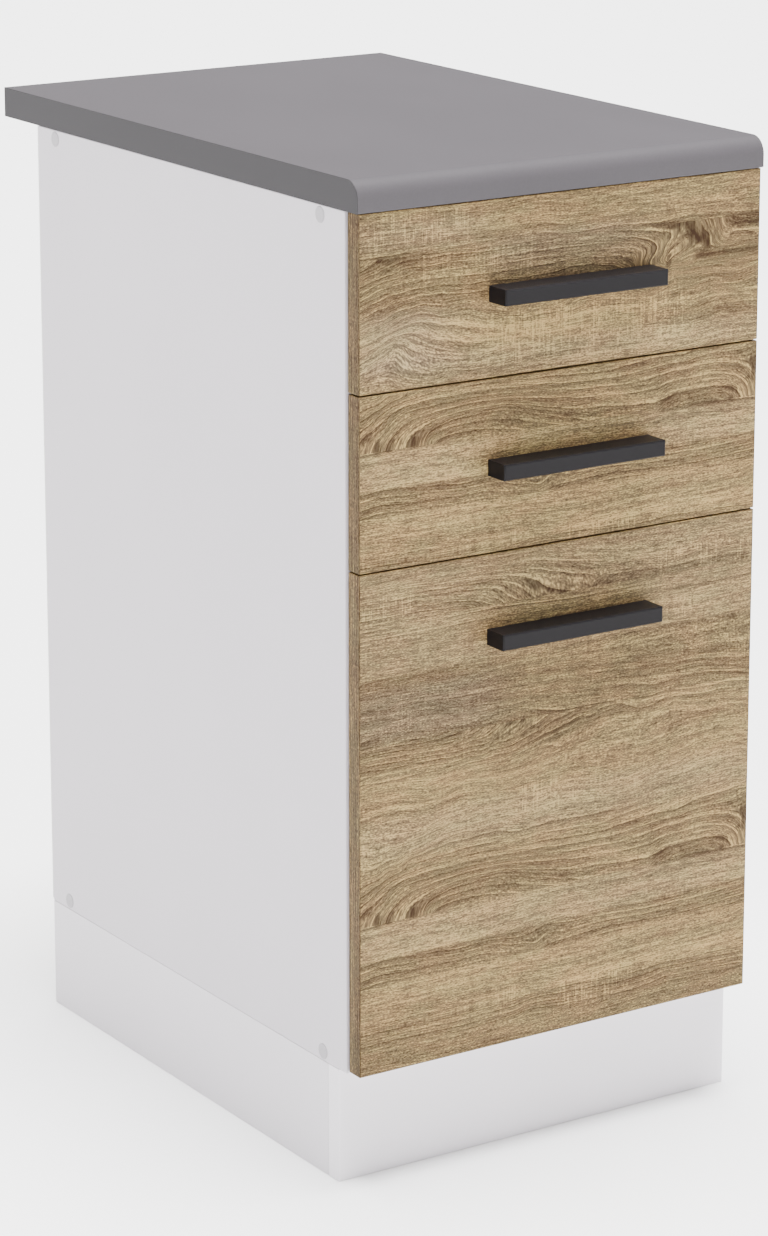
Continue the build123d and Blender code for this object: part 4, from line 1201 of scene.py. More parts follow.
PALE_FIGURES = (
    shape(74, 781, 85, 779.7, 94, 778.7, 100, 775.5, 108, 770.5, 103, 765, 100, 760, 99, 755, 100, 750,
          101.5, 744, width=2.4),
    shape(133, 785, 138.5, 778, 143, 773, 147, 769, 148.5, 764, 149.5, 760, 156, 758.6, 166, 757.6,
          width=1.8),
    shape(156.5, 785, 157.5, 778, 160, 773.6, 164, 771.2, 170, 770.3, 182, 769.8, 205, 769.4, width=1.8),
    shape(129, 763.5, 136, 760.7, 139.3, 758.6, 136, 756.4, 131, 754.6, width=1.8),
    shape(117, 778, 120, 773, 124, 768, 130, 764.5, width=1.4),
    shape(-136.5, 786, -136.2, 752, width=2.6), shape(-33.5, 786, -33, 761, width=2.2),
    shape(-73, 786, -73, 766, width=1.4), shape(-60.5, 784, -60, 769, width=1.2),
    shape(104, 243.6, 115, 245.9, 135, 246.2, 150, 245.6, 164, 246.5, 172, 244.8, 179.5, 241,
          178.5, 237.5, 180.5, 234, 185, 230, width=1.8),
    shape(-175, 235, -170, 241, -160, 248, -150, 252.2, -140, 254.7, -130, 256.3, -120, 258, -105, 260,
          width=1.6),
    shape(-133, 238.5, -127.5, 241.5, -120, 243, -113, 243.8, width=1.3),
    shape(-76, 372.5, -68, 375, -60, 379, width=1.4), shape(-46, 504.5, -37, 502.6, width=1.4),
    shape(24, 374.6, 42, 377, 60, 378, 100, 377.3, 130, 376.8, 160, 374.6, 180, 372.4, 205, 370.3,
          width=1.5),
    shape(40, 260.5, 90, 260.3, 110, 262, 124, 264.2, 136, 265.5, 142, 268.3, 152, 270.5, width=1.5),
    shape(191.5, 246, 191, 256, width=1.5),
)


@dataclass(frozen=True)
class DecorSheet:
    """The printed decor: its staves from bottom to top, with the marks on them."""

    staves: tuple[Stave, ...]

    def joints(self, low: float, high: float) -> list[tuple[Stave, float, float]]:
        """The staves between two heights, each with the part of its height that lies between them."""
        cut = [(stave, max(stave.low, low), min(stave.high, high)) for stave in self.staves]
        return [(stave, bottom, top) for stave, bottom, top in cut if top - bottom > THINNEST]

    def carried(self, stave: Stave, x: Points, z: Points) -> dict[str, Points]:
        """What a front's corners carry at points of one stave, for the oak decor.

        Args:
            stave: the stave.
            x, z: grids of places on the sheet in millimetres.

        Returns:
            A grid of three numbers for each attribute's name.
        """
        across, number = stave.field(x, z)
        vein = np.minimum(stave.vein + total(FIGURED_PATCHES, x, z), 1.0)
        tone = stave.tone + total(TONE_PATCHES, x, z)
        grey = np.minimum(total(GREY_PATCHES, x, z), 1.0)
        saw = np.minimum(total(SAW_MARKS, x, z), SAW_LIMIT)
        nothing = np.zeros_like(x)
        inside = [deepest(DARK_FIGURES, x, z), deepest(PALE_FIGURES, x, z), nothing]
        return {
            "decor_flow": np.stack([x, across, number], axis=-1),
            "decor_tone": np.stack([vein, tone, grey], axis=-1),
            "decor_marks": np.stack([saw, nothing + stave.speckle, nothing], axis=-1),
            "decor_figures": np.stack(inside, axis=-1),
        }


# ---- sub-assemblies -----------------------------------------------------------------------------
JOINT_TAKEN = 0.65 * MM  # what each front takes of the solids' 2.5 mm joints: the photograph's are narrower
MIDDLE_SHIFT = 396.0  # millimetres that the middle front hangs above what it shows of the lower sheet
SOFT_CREASE = 20.0  # degrees past which an edge of an end strip or a handle is sharp
TOP_JOINT_TAKEN = 1.1 * MM  # what the top front takes of the solids' 1.5 mm joint under the worktop


@dataclass(frozen=True)
class BandDecor:
    """How the decor runs on a front's edge band: millimetres, and shares as in OakDecor; its upright edges
    carry painted shade, eased by painted light towards the rear.
    """

    start: tuple[float, float] = (700.0, 900.0)  # along and across, away from the face's grain
    line_spacing: float = 3.4
    sway: float = 0.35  # lines
    sway_length: float = 41.0
    vein: float = 0.4
    tone: float = 0.7
    speckle: float = 0.2
    upright_vein: float = 0.5  # what the upright edges have more
    # painted shade: the next share darkens the upright edges, standing in for the shade on these
    # sideways-facing edges
    upright_painted_shade: float = 0.19
    # painted light: the next share gives the upright edges back some lightness towards the rear, against the
    # shadow of the joint behind the front
    rear_painted_light: float = 0.15  # what they get back towards the rear
    rear_start: float = 9.0
    rear_run: float = 4.0


@dataclass(frozen=True)
class BackDecor:
    """How the decor runs on a front's back: millimetres, and shares as in OakDecor."""

    start: tuple[float, float] = (350.0, 37.0)
    line_spacing: float = 9.0
    wave: float = 2.0
    wave_length: float = 47.0
    tone: tuple[float, float, float] = (0.3, 0.74, 0.1)  # growth lines, paleness and grey
    speckle: float = 0.25


@dataclass
class DrawerFront:
    """A decor front: a board with rounded edges whose own edge band runs round it."""

    drawer: str
    sheet: DecorSheet
    sheet_shift: float = 0.0  # how much higher it hangs than the part of the sheet it shows, in millimetres
    past_below: float = 0.0  # how far it reaches past its solid, into the joint below
    past_above: float = 0.0  # and into the joint above
    radius: float = 0.8 * MM
    arc_steps: int = 4
    cell: float = 2.0 * MM
    back_arris: float = 0.4 * MM
    groove_rise: float = 10.0 * MM
    groove_width: float = 3.2 * MM
    groove_depth: float = 6.0 * MM
    groove_play: float = 0.5 * MM  # how far the groove runs past the floor's sides
    wall: float = 0.05 * MM  # half the run over which the groove's walls fall
    band: BandDecor = BandDecor()
    back: BackDecor = BackDecor()

    def __post_init__(self) -> None:
        """Takes the front's box and the groove's place from the frame."""
        self.low, self.high = box_of(f"drawer_{self.drawer}_front")
        self.low.z -= self.past_below
        self.high.z += self.past_above
        self.groove = box_of(f"drawer_{self.drawer}_side_left")[0].z + self.groove_rise
        self.reach = box_of(f"drawer_{self.drawer}_floor")[1].x + self.groove_play

    def stations(self) -> tuple[Points, list[tuple[Stave, Points]]]:
        """Places the columns and rows of points, close together at the groove's walls.

        Returns:
            X stations of the front, and the Z stations of each of its staves.
        """
        reach, wall = self.reach, self.wall
        breaks = [self.low.x + self.radius, -reach - wall, -reach + wall, reach - wall, reach + wall,
                  self.high.x - self.radius]
        x = np.unique(np.concatenate([spaced(a, b, self.cell) for a, b in zip(breaks, breaks[1:])]))
        upper = self.groove + self.groove_width
        edges = [self.groove - wall, self.groove + wall, upper - wall, upper + wall]
        bottom, top = self.low.z + self.radius, self.high.z - self.radius
        shift = self.sheet_shift * MM
        rows = []
        for stave, low, high in self.sheet.joints((bottom - shift) / MM, (top - shift) / MM):
            a, b = low * MM + shift, high * MM + shift
            steps = [a, *[edge for edge in edges if a < edge < b], b]
            heights = np.concatenate([spaced(c, d, self.cell) for c, d in zip(steps, steps[1:])])
            rows.append((stave, np.unique(heights)))
        return x, rows

    def build(self) -> None:
        """Makes the front's face, its rounded edge, its sides and its grooved back."""
        shell = Shell(f"drawer_{self.drawer}_front_panel")
        x, rows = self.stations()
        for stave, z in rows:
            across, up = np.meshgrid(x, z)
            points = np.stack([across, np.full_like(across, self.low.y), up], axis=-1)
            shell.add(points, **self.sheet.carried(stave, across / MM, up / MM - self.sheet_shift))
        z = np.unique(np.concatenate([heights for _, heights in rows]).round(7))
        self.add_edge(shell, x, z)
        self.add_back(shell, x, z)
        piece = shell.build(OakDecor())
        set_in_place(piece, f"drawer_{self.drawer}", f"drawer_{self.drawer}_front")

    def outline(self, x: Points, z: Points) -> tuple[Points, Points, Points]:
        """The face's rim from its lower left corner round to the right.

        Each corner is repeated arc_steps times while its normal turns a quarter circle.

        Args:
            x, z: the face's columns and rows.

        Returns:
            The rim's x, its z and its outward normals (x, z).
        """
        sides = [
            (x, np.full_like(x, z[0]), -90.0),
            (np.full_like(z, x[-1]), z, 0.0),
            (x[::-1], np.full_like(x, z[-1]), 90.0),
            (np.full_like(z, x[0]), z[::-1], 180.0),
        ]
        rim_x, rim_z, angle = [], [], []
        for side_x, side_z, facing in sides:
            rim_x += [side_x, np.full(self.arc_steps, side_x[-1])]
            rim_z += [side_z, np.full(self.arc_steps, side_z[-1])]
            turn = facing + 90.0 * np.arange(1, self.arc_steps + 1) / (self.arc_steps + 1)
            angle += [np.full(len(side_x), facing), turn]
        angle = np.radians(np.concatenate(angle))
        return (closed(np.concatenate(rim_x)), closed(np.concatenate(rim_z)),
                closed(np.column_stack([np.cos(angle), np.sin(angle)])))

    def add_edge(self, shell: Shell, x: Points, z: Points) -> None:
        """Adds the edge band: a quarter round at the face, the side, and a small arris at the back.

        A point of ring i is the rim's point moved outwards by reach i and back by depth i. On the quarter
        round the reach is the radius times the sine of the angle, and the depth is the radius times one
        minus its cosine.

        Args:
            shell: the front's surface.
            x, z: the face's columns and rows.
        """
        rim_x, rim_z, normal = self.outline(x, z)
        turn = np.radians(np.linspace(0, 90, self.arc_steps + 1))
        radius, thickness = self.radius, self.high.y - self.low.y
        reach = np.concatenate([radius * np.sin(turn), [radius, radius - self.back_arris, 0.0]])
        side = [thickness - self.back_arris, thickness, thickness]
        depth = np.concatenate([radius * (1 - np.cos(turn)), side])
        points = np.stack([
            rim_x + reach[:, None] * normal[:, 0],
            np.broadcast_to(self.low.y + depth[:, None], (len(depth), len(rim_x))),
            rim_z + reach[:, None] * normal[:, 1],
        ], axis=-1)
        look = self.band
        steps = np.hypot(np.diff(rim_x), np.diff(rim_z))
        along = np.concatenate([[0.0], np.cumsum(steps)]) / MM
        across = np.concatenate([[0.0], np.cumsum(np.hypot(np.diff(reach), np.diff(depth)))]) / MM
        flow_along, flow_across = np.meshgrid(along + look.start[0], across + look.start[1])
        lines = flow_across / look.line_spacing + look.sway * np.sin(flow_along / look.sway_length)
        upright = np.abs(normal[:, 0])[None, :] * np.ones_like(flow_across)
        # painted light: rear rises from 0 to 1 towards the band's rear, where the upright edges' painted
        # shade eases off
        rear = np.clip((flow_across - flow_across[0, 0] - look.rear_start) / look.rear_run, 0.0, 1.0)
        vein = look.vein + look.upright_vein * upright
        # painted shade on the upright edges, with part of it taken back towards the rear by painted light
        tone = look.tone - (look.upright_painted_shade - look.rear_painted_light * rear) * upright
        shell.add(
            points,
            decor_flow=np.stack([flow_along, flow_across, lines], axis=-1),
            decor_tone=np.stack([vein, tone, np.zeros_like(tone)], axis=-1),
            decor_marks=np.broadcast_to((0.0, look.speckle, 0.0), points.shape),
            decor_figures=np.full(points.shape, OUTSIDE),
        )

    def add_back(self, shell: Shell, x: Points, z: Points) -> None:
        """Adds the back as a height field: flat, and groove_depth lower inside the floor's groove.

        Args:
            shell: the front's surface.
            x, z: the face's columns and rows.
        """
        across, up = np.meshgrid(x, z)
        level = (up > self.groove) & (up < self.groove + self.groove_width)
        in_groove = level & (np.abs(across) < self.reach)
        points = np.stack([across, self.high.y - self.groove_depth * in_groove, up], axis=-1)
        look = self.back
        along = across / MM
        height = up / MM + look.wave * np.sin(along / look.wave_length)
        flow = [along + look.start[0], height + look.start[1], height / look.line_spacing]
        shell.add(
            points,
            decor_flow=np.stack(flow, axis=-1),
            decor_tone=np.broadcast_to(look.tone, points.shape),
            decor_marks=np.broadcast_to((0.0, look.speckle, 0.0), points.shape),
            decor_figures=np.full(points.shape, OUTSIDE),
        )


@dataclass
class Worktop:
    """A postformed worktop: a chipboard core, one sheet of laminate bent over its nose, and end strips whose
    darker grey is painted shade.
    """

    nose_radius: float = 15.0 * MM
    drip_radius: float = 1.5 * MM
    sheet: float = 0.8 * MM
    strip: float = 0.7 * MM
    arris: float = 0.3 * MM
    wrap: float = 28.0 * MM  # how far the laminate runs back under the nose
    paper: float = 0.3 * MM
    drip_steps: int = 6
    nose_steps: int = 24
    # painted shade: the end strips get a darker copy of the laminate's grey, standing in for the shade on the
    # worktop's end faces
    shaded_strip_grey: Colour = (0.0355, 0.033, 0.0355, 1.0)

    def __post_init__(self) -> None:
        """Takes the worktop's box from the frame."""
        self.low, self.high = box_of("worktop")

    def nose(self, skin: float) -> Points:
        """The section from under the nose round to the back of the top.

        It is an open line: a short run forwards, the drip arc, the front, the nose arc, the top.

        Args:
            skin: how far inside the surface it lies.

        Returns:
            Its points (y, z).
        """
        front, low, top = self.low.y + skin, self.low.z + skin, self.high.z - skin
        drip, nose = self.drip_radius - skin, self.nose_radius - skin
        return np.concatenate([
            [(self.low.y + self.wrap, low)],
            arc((front + drip, low + drip), drip, 270, 180, self.drip_steps),
            arc((front + nose, top - nose), nose, 180, 90, self.nose_steps),
            [(self.high.y, top)],
        ])

    def build(self) -> None:
        """Makes the laminate, the core, the backing paper and the two end strips."""
        left, right = self.low.x + self.strip, self.high.x - self.strip
        outer, inner = self.nose(0.0), self.nose(self.sheet)
        skin = closed(np.concatenate([outer, inner[::-1]]))
        laminate = Shell("worktop_laminate")
        laminate.add(along_x([skin, skin], [left, right]))
        for x in (left, right):
            laminate.add(along_x([outer, inner], [x, x]))
        self.place(laminate, Laminate())
        turned_in, under = self.low.y + self.wrap, self.low.z + self.paper
        body = np.concatenate([inner, [(self.high.y, under), (turned_in, under)]])
        core = Shell("worktop_core")
        core.add_tube([body, body], [left, right])
        self.place(core, ChipCore())
        sole = np.array([(turned_in, under), (turned_in, self.low.z), (self.high.y, self.low.z),
                         (self.high.y, under)])
        paper = Shell("worktop_backing_paper")
        paper.add_tube([sole, sole], [left, right])
        self.place(paper, BackingPaper())
        whole = np.concatenate([outer[1:], [(self.high.y, self.low.z)]])[::-1]
        for name, outside, inside in (("left", self.low.x, left), ("right", self.high.x, right)):
            step = math.copysign(self.arris, inside - outside)
            sections = [inset(whole, self.arris), inset(whole, self.arris * MIDWAY), whole, whole]
            strip = Shell(f"worktop_end_strip_{name}")
            strip.add_tube(sections, [outside, outside + step * MIDWAY, outside + step, inside])
            # painted shade: each end strip is finished in the darker copy of the laminate
            self.place(strip, Laminate(self.shaded_strip_grey), SOFT_CREASE)

    def place(self, shell: Shell, finish: Finish, crease: float = 30.0) -> None:
        """Builds one layer of the worktop and sets it in place."""
        set_in_place(shell.build(finish, crease), "carcass", "worktop")


@dataclass
class EasedBoard:
    """A packed board of the carcass whose outer edges are eased, as edge banding is."""

    node: str
    finish: Finish
    ease: float = 0.7 * MM
    arc_steps: int = 2

    def build(self) -> None:
        """Copies the board with its bores, joins its triangles into flat faces and rounds its box's edges."""
        mesh, work = bpy.data.meshes.new(f"{self.node}_eased"), welded(self.node)
        bmesh.ops.dissolve_limit(work, angle_limit=math.radians(0.5), verts=work.verts, edges=work.edges)
        work.to_mesh(mesh)
        work.edges.ensure_lookup_table()
        outer = [work.edges[number] for number in self.box_edges(mesh)]
        bmesh.ops.bevel(work, geom=outer, offset=self.ease, offset_type="OFFSET", segments=self.arc_steps,
                        profile=0.5, affect="EDGES")
        work.to_mesh(mesh)
        work.free()
        mesh.shade_flat()
        mesh.materials.append(self.finish.material())
        set_in_place(linked(mesh.name, mesh), "carcass", self.node)

    def box_edges(self, mesh: bpy.types.Mesh) -> Points:
        """Finds the edges that run along the board's box: both ends lie in the same two of its planes.

        Args:
            mesh: the board's mesh.

        Returns:
            The numbers of those edges.
        """
        points, ends = points_and_ends(mesh)
        ends = points[ends]
        planes = [np.abs(ends - np.array(corner)).max(axis=1) < ON_PLANE for corner in box_of(self.node)]
        return np.flatnonzero(np.sum(planes, axis=(0, 2)) == 2)


@dataclass
class BarHandle:
    """A cast bar handle: a top wall and a lip between two solid end blocks, with soft arrises."""

    drawer: str
    top_wall: float = 3.0 * MM
    lip: float = 5.0 * MM
    end_block: float = 26.0 * MM
    chamfer: float = 1.2 * MM
    grip_radius: float = 2.5 * MM
    arris: float = 0.35 * MM
    opening: float = 0.02 * MM  # over which the grip opens behind an end block
    back_edge: float = 0.01 * MM  # the width of the narrow last face along the top's rear edge
    arc_steps: int = 8

    def __post_init__(self) -> None:
        """Takes the handle's box from the frame."""
        self.low, self.high = box_of(f"drawer_{self.drawer}_handle")

    def section(self, squeeze: float, chamfer: float, open_below: float) -> Points:
        """One section of (y, z), counter-clockwise seen from the right.

        Args:
            squeeze: how far its free edges are drawn in, for the rounded ends.
            chamfer: how far its front face stands back.
            open_below: 1 for the open grip, 0 for a solid end block.

        Returns:
            Its points.
        """
        front, back = self.low.y + chamfer, self.high.y
        low, top = self.low.z + squeeze, self.high.z - squeeze
        edge = self.chamfer
        roof = low + (self.high.z - self.top_wall - low) * open_below
        inside = self.low.y + self.lip
        bend = self.grip_radius * open_below
        corner = arc((0.0, 0.0), 1.0, 90, 180, self.arc_steps) * [self.grip_radius, bend]
        return np.concatenate([
            [(front, low + edge), (front, top - edge), (front + edge - chamfer, top)],
            [(back - self.back_edge, top), (back, top), (back, roof)],
            corner + [inside + self.grip_radius, roof - bend],
            [(inside, low + self.arris * MIDWAY), (inside - self.arris, low), (front + edge - chamfer, low)],
        ])

    def build(self) -> None:
        """Carries the section from the left end to the right one, opening between the end blocks."""
        full, arris = self.chamfer, self.arris
        steps = [  # distance from the end, squeeze, chamfer, open_below
            (0.0, arris, full, 0.0),
            (MIDWAY * arris, MIDWAY * arris, full * 0.86, 0.0),
            (arris, 0.0, full - arris, 0.0),
            (full, 0.0, 0.0, 0.0),
            (self.end_block, 0.0, 0.0, 0.0),
            (self.end_block + self.opening, 0.0, 0.0, 1.0),
        ]
        length = self.high.x - self.low.x
        steps += [(length - distance, *rest) for distance, *rest in reversed(steps)]
        shell = Shell(f"drawer_{self.drawer}_bar_handle")
        shell.add_tube([self.section(*rest) for _, *rest in steps], [self.low.x + step[0] for step in steps])
        piece = shell.build(HandleCoat(), SOFT_CREASE)
        set_in_place(piece, f"drawer_{self.drawer}", f"drawer_{self.drawer}_handle")


class Head(Enum):
    """A screw head, by its crown's height over its radius."""

    PAN = 0.52
    FLAT = 0.0


@dataclass
class CrossScrews:
    """The screws of one node, remade with a cross recess in each head."""

    node: str
    body: str
    head: Head = Head.PAN
    around: int = 32
    recess_reach: float = 0.58  # of the head's radius
    recess_width: float = 0.16
    recess_depth: float = 0.5
    recess_end: float = 0.25  # share of that depth where the bars end
    rim_from: float = 0.97  # share of the radius past which a point is on the head's rim
    crown_power: float = 2.4
    neck: float = 0.05  # the least height of the head's side, over its radius
    cone: float = 0.5  # the height of a flat head's cone, over its radius
    taper: tuple[float, float] = (0.8, 0.86)  # shares of the length over which the tip starts
    rings: tuple[float, ...] = (0.0, 0.1, 0.17, 0.24, 0.34, 0.46, 0.58, 0.64, 0.8, 0.93, 1.0)

    def build(self) -> None:
        """Finds each screw in the node and puts a detailed one in its place."""
        shell = Shell(f"{self.node}_cross_recessed")
        for solid in loose_solids(self.node):
            self.add_screw(shell, solid)
        set_in_place(shell.build(Zinc()), self.body, self.node)

    def add_screw(self, shell: Shell, solid: Points) -> None:
        """Adds one screw that is as long and as wide as the solid's points.

        The axis is the direction in which the points spread most, and the head is at the end where they
        stand furthest from it. In the head's face the depth is recess_depth times the radius where the
        point lies in one of two crossed bars, less a taper towards the bars' ends.

        Args:
            shell: the surface of all the node's screws.
            solid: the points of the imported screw.
        """
        middle = solid.mean(axis=0)
        axis = np.linalg.svd(solid - middle, full_matrices=False)[2][0]
        height = (solid - middle) @ axis
        spread = np.linalg.norm(solid - middle - np.outer(height, axis), axis=1)
        radius = spread.max()
        on_rim = spread > self.rim_from * radius
        if height[on_rim].mean() > (height.max() + height.min()) / 2:
            axis, height = -axis, -height
        start = middle + axis * height.min()
        height = height - height.min()
        length = height.max()
        across = np.cross(axis, [0.31, 0.52, 0.8])
        across /= np.linalg.norm(across)
        beside = np.cross(axis, across)

        angle = np.linspace(0, 2 * np.pi, self.around + 1)
        turn, ring = np.meshgrid(angle, self.rings)
        u, v = ring * np.cos(turn), ring * np.sin(turn)
        crown = self.head.value * radius
        bar = np.minimum(np.abs(u), np.abs(v)) < self.recess_width
        reach = np.maximum(np.abs(u), np.abs(v))
        shallow = np.clip((self.recess_reach - reach) / self.recess_reach + self.recess_end, 0, 1)
        cut = bar * shallow * (reach < self.recess_reach)
        face = crown * ring ** self.crown_power + cut * self.recess_depth * radius

        # The side runs down the head, along the shank and over the taper to a blunt tip.
        shank = spread[height > length * 0.6].max() / radius
        neck = max(height[on_rim].max(), crown + self.neck * radius)
        cone = neck if self.head is Head.PAN else neck + self.cone * radius
        side = np.array([crown, neck, cone, length * self.taper[0], length * self.taper[1], length])
        turn, ring = np.meshgrid(angle, [1.0, 1.0, shank, shank, shank * 0.9, 0.02])
        depth = np.concatenate([face, np.broadcast_to(side[:, None], turn.shape)])
        u = np.concatenate([u, ring * np.cos(turn)]) * radius
        v = np.concatenate([v, ring * np.sin(turn)]) * radius
        points = start + u[..., None] * across + v[..., None] * beside + depth[..., None] * axis
        shell.add(points)
        shell.add(lid(points[-1], points[-1].mean(axis=0)))


def welded(node: str) -> bmesh.types.BMesh:
    """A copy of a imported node's mesh whose triangles share their points.

    Args:
        node: the node's name.

    Returns:
        The copy, which the caller frees.
    """
    work = bmesh.new()
    work.from_mesh(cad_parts[node].data)
    bmesh.ops.remove_doubles(work, verts=work.verts, dist=PACKED_GAP)
    return work


def points_and_ends(mesh: bpy.types.Mesh) -> tuple[Points, Points]:
    """Reads a mesh as arrays.

    Args:
        mesh: the mesh.

    Returns:
        Its points, n x 3, and the numbers of each edge's two ends, m x 2.
    """
    points, ends = np.empty(len(mesh.vertices) * 3), np.empty(len(mesh.edges) * 2, np.int32)
    mesh.vertices.foreach_get("co", points)
    mesh.edges.foreach_get("vertices", ends)
    return points.reshape(-1, 3), ends.reshape(-1, 2)


def loose_solids(node: str) -> list[Points]:
    """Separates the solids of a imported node.

    Every point starts with its own number. Both ends of every edge take the lower of their two numbers,
    again and again until nothing changes, so each solid ends up with one number.

    Args:
        node: the node's name.

    Returns:
        The points of each solid.
    """
    mesh, work = bpy.data.meshes.new(f"{node}_welded"), welded(node)
    work.to_mesh(mesh)
    work.free()
    points, ends = points_and_ends(mesh)
    bpy.data.meshes.remove(mesh)
    numbers, lower = None, np.arange(len(points))
    while numbers is None or np.any(lower != numbers):
        numbers, lower = lower, lower.copy()
        np.minimum.at(lower, ends[:, 0], numbers[ends[:, 1]])
        np.minimum.at(lower, ends[:, 1], numbers[ends[:, 0]])
        lower = lower[lower]
    return [points[numbers == number] for number in np.unique(numbers)]


@dataclass
class KeptPieces:
    """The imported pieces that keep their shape, each with the finish that it gets."""

    def finishes(self) -> dict[str, Finish]:
        """Names the finish of every kept node.

        Returns:
            The finishes, by node.
        """
        table = {
            "bottom_panel": WhiteBoard((Side.BACK,)),
            "top_rail_front": WhiteBoard((Side.BACK,)),
            "top_rail_rear": WhiteBoard((Side.FRONT, Side.BACK)),
            "back_panel": Hardboard(Side.BACK),
            "plinth_corner_blocks": Moulded((0.70, 0.70, 0.69, 1.0)),
            "carcass_screws": Zinc(),
            "cover_caps": Moulded((0.355, 0.332, 0.355, 1.0), gloss=0.3, grain=1600.0),
            "wooden_dowels": Beech(),
            "worktop_screws": Zinc(),
            "back_panel_nails": Zinc(),
        }
        nylon = Moulded((0.74, 0.73, 0.69, 1.0), gloss=0.35, grain=1500.0, see_in=0.15)
        for drawer in ("top", "middle", "bottom"):
            table |= {
                f"runners_{drawer}": CoatedSteel(),
                f"drawer_{drawer}_rails": CoatedSteel(),
                f"front_rollers_{drawer}": nylon,
                f"rear_rollers_{drawer}": nylon,
                f"drawer_{drawer}_side_left": WhiteBoard((Side.BELOW, Side.BACK)),
                f"drawer_{drawer}_side_right": WhiteBoard((Side.BELOW, Side.BACK)),
                f"drawer_{drawer}_back": WhiteBoard((Side.BELOW,)),
                f"drawer_{drawer}_floor": Hardboard(Side.BELOW),
                f"drawer_{drawer}_cam_fittings": Zinc(),
            }
        return table

    def dress(self) -> None:
        """Puts each finish into its node's material slots."""
        for node, finish in self.finishes().items():
            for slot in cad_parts[node].material_slots:
                slot.material = finish.material()
            LOG.info("%s: %s", node, type(finish).__name__)


# painted light and shade: the same white melamine gets a darker white on the side panels, standing in for the
# shade on them, and lighter whites on the plinth boards, standing in for light that their shadow takes away
SHADED_PANEL_FINISH = WhiteBoard((Side.BACK, Side.ABOVE), (0.575, 0.538, 0.575, 1.0))
LIT_PLINTH_FINISH = WhiteBoard((Side.BELOW,), (0.70, 0.662, 0.70, 1.0))
EASED_BOARDS = {
    "side_panel_left": SHADED_PANEL_FINISH,
    "side_panel_right": SHADED_PANEL_FINISH,
    # painted light: the plinth front gets the lightest copy of the white
    "plinth_front": WhiteBoard((Side.BELOW,), (0.86, 0.82, 0.86, 1.0)),
    "plinth_rear": LIT_PLINTH_FINISH,
    "plinth_side_left": LIT_PLINTH_FINISH,
    "plinth_side_right": LIT_PLINTH_FINISH,
}


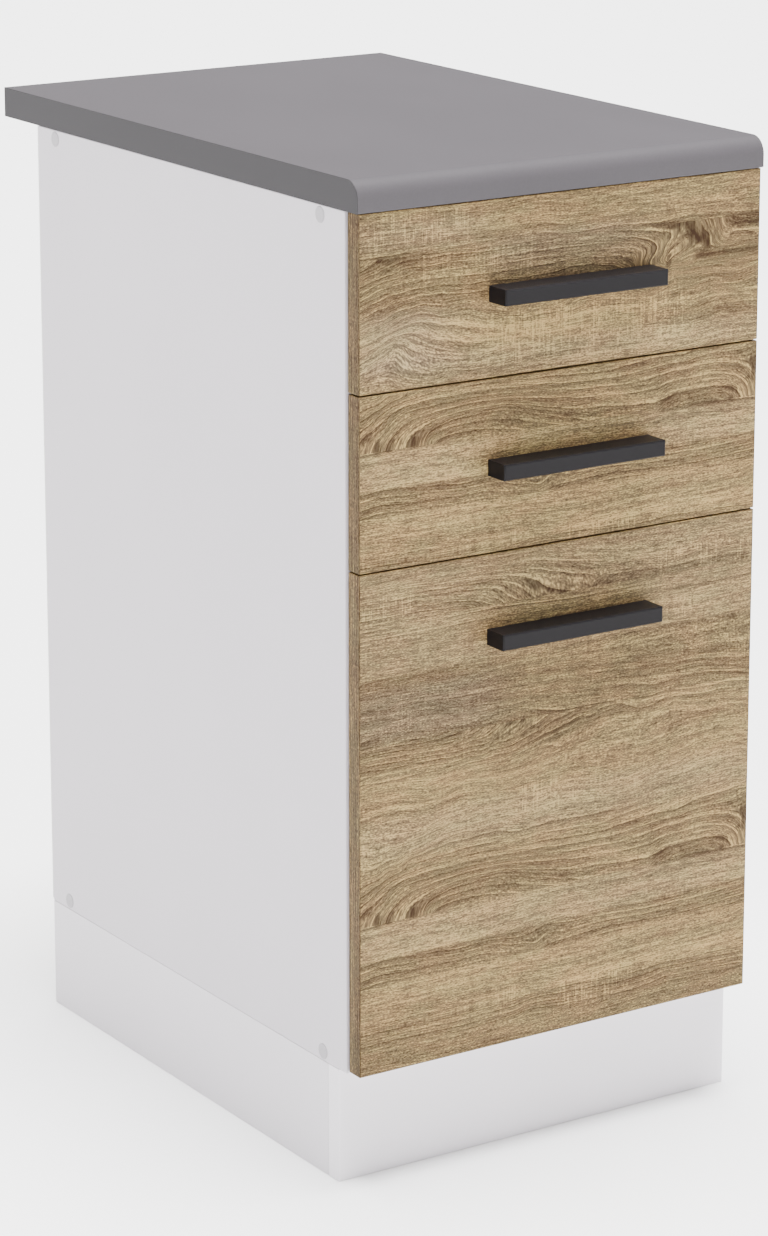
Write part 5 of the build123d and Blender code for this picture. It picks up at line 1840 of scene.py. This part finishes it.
@dataclass
class Studio:
    """A plain pale floor, soft light and the camera at the photograph's viewing angle."""

    floor_radius: float = 9.0
    floor_rings: int = 8
    floor_sectors: int = 64
    sensor: float = 36.0  # millimetres, which the picture's longer side stands for
    camera_place: tuple[float, float, float] = (-1.9040, -2.9419, 1.3977)
    yaw: float = 33.003  # from +Y towards +X, in degrees
    pitch: float = 13.869  # downwards, in degrees
    focal_pixels: float = 4126.2
    image_height: float = 1236.0
    shift_pixels: float = -150.0
    sky: float = 0.3  # how bright the world is overhead
    horizon: float = 4.6  # how bright it is just above the floor's far edge
    haze: float = 0.1  # the sine of the height over which it falls from one to the other

    def build(self) -> None:
        """Makes the floor, the world, the lights and the camera."""
        self.add_floor()
        self.add_world()
        self.add_light("overhead", (0.04, -0.05, 1.0), power=15.0, width=36.0)
        self.add_light("front", (0.2, -1.0, 0.3), power=0.3, width=60.0)
        self.add_camera()

    def add_floor(self) -> None:
        """A round floor: rings of points at growing radii."""
        shell = Shell("studio_floor")
        angle = np.linspace(0, 2 * np.pi, self.floor_sectors + 1)
        turn, ring = np.meshgrid(angle, np.linspace(0.0, self.floor_radius, self.floor_rings + 1))
        shell.add(np.stack([ring * np.cos(turn), ring * np.sin(turn), 0 * ring], axis=-1))
        shell.build(StudioFloor())

    def add_world(self) -> None:
        """White light from all around: bright at the horizon, falling smoothly to the sky's strength."""
        world = bpy.data.worlds.new("studio")
        world.use_nodes = True
        graph = Graph(world.node_tree)
        height = graph.parts(graph.node("ShaderNodeTexCoord", None, None, "Generated"))[2]
        fall = graph.spread(height, 0.0, self.haze, self.horizon, self.sky)
        glow = graph.node("ShaderNodeBackground", None, {"Color": (1.0, 1.0, 1.0, 1.0), "Strength": fall})
        graph.node("ShaderNodeOutputWorld", None, {"Surface": glow})
        bpy.context.scene.world = world

    def add_light(self, name: str, towards: tuple[float, float, float], power: float, width: float) -> None:
        """Adds a far, soft light.

        Args:
            name: what it is called.
            towards: the direction in which it stands.
            power: watts per square metre.
            width: the angle that it fills, in degrees.
        """
        light = bpy.data.lights.new(f"studio_{name}", "SUN")
        light.energy = power
        light.angle = math.radians(width)
        linked(light.name, light).rotation_euler = Vector(towards).to_track_quat("Z", "Y").to_euler()

    def add_camera(self) -> None:
        """The camera: its lens is the focal length in pixels over the picture's height, times the sensor."""
        camera = bpy.data.cameras.new("camera")
        camera.sensor_width = self.sensor
        camera.lens = self.focal_pixels / self.image_height * self.sensor
        camera.shift_y = self.shift_pixels / self.image_height
        seen_from = linked("camera", camera)
        seen_from.location = self.camera_place
        seen_from.rotation_euler = (math.radians(90 - self.pitch), 0.0, math.radians(-self.yaw))
        bpy.context.scene.camera = seen_from


def corners(bounds: Iterable) -> list[list[float]]:
    """A box's corners as plain lists of numbers."""
    return [[float(part) for part in corner] for corner in bounds]


def main() -> None:
    """Builds every sub-assembly in order."""
    logging.basicConfig(level=logging.INFO, format="%(message)s")
    Studio().build()
    KeptPieces().dress()
    for node, finish in EASED_BOARDS.items():
        EasedBoard(node, finish).build()
    Worktop().build()
    upper, lower = DecorSheet(UPPER_STAVES), DecorSheet(LOWER_STAVES)
    fronts = (
        DrawerFront("top", upper, past_below=JOINT_TAKEN, past_above=TOP_JOINT_TAKEN),
        DrawerFront("middle", lower, MIDDLE_SHIFT, past_below=JOINT_TAKEN, past_above=JOINT_TAKEN),
        DrawerFront("bottom", lower, past_above=JOINT_TAKEN),
    )
    for front in fronts:
        front.build()
        BarHandle(front.drawer).build()
        body = f"drawer_{front.drawer}"
        CrossScrews(f"{body}_handle_screws", body).build()
        CrossScrews(f"{body}_box_screws", body, Head.FLAT).build()
        CrossScrews(f"{body}_rail_screws", body).build()
    CrossScrews("pan_head_screws", "carcass").build()


if __name__ == "__main__":
    main()
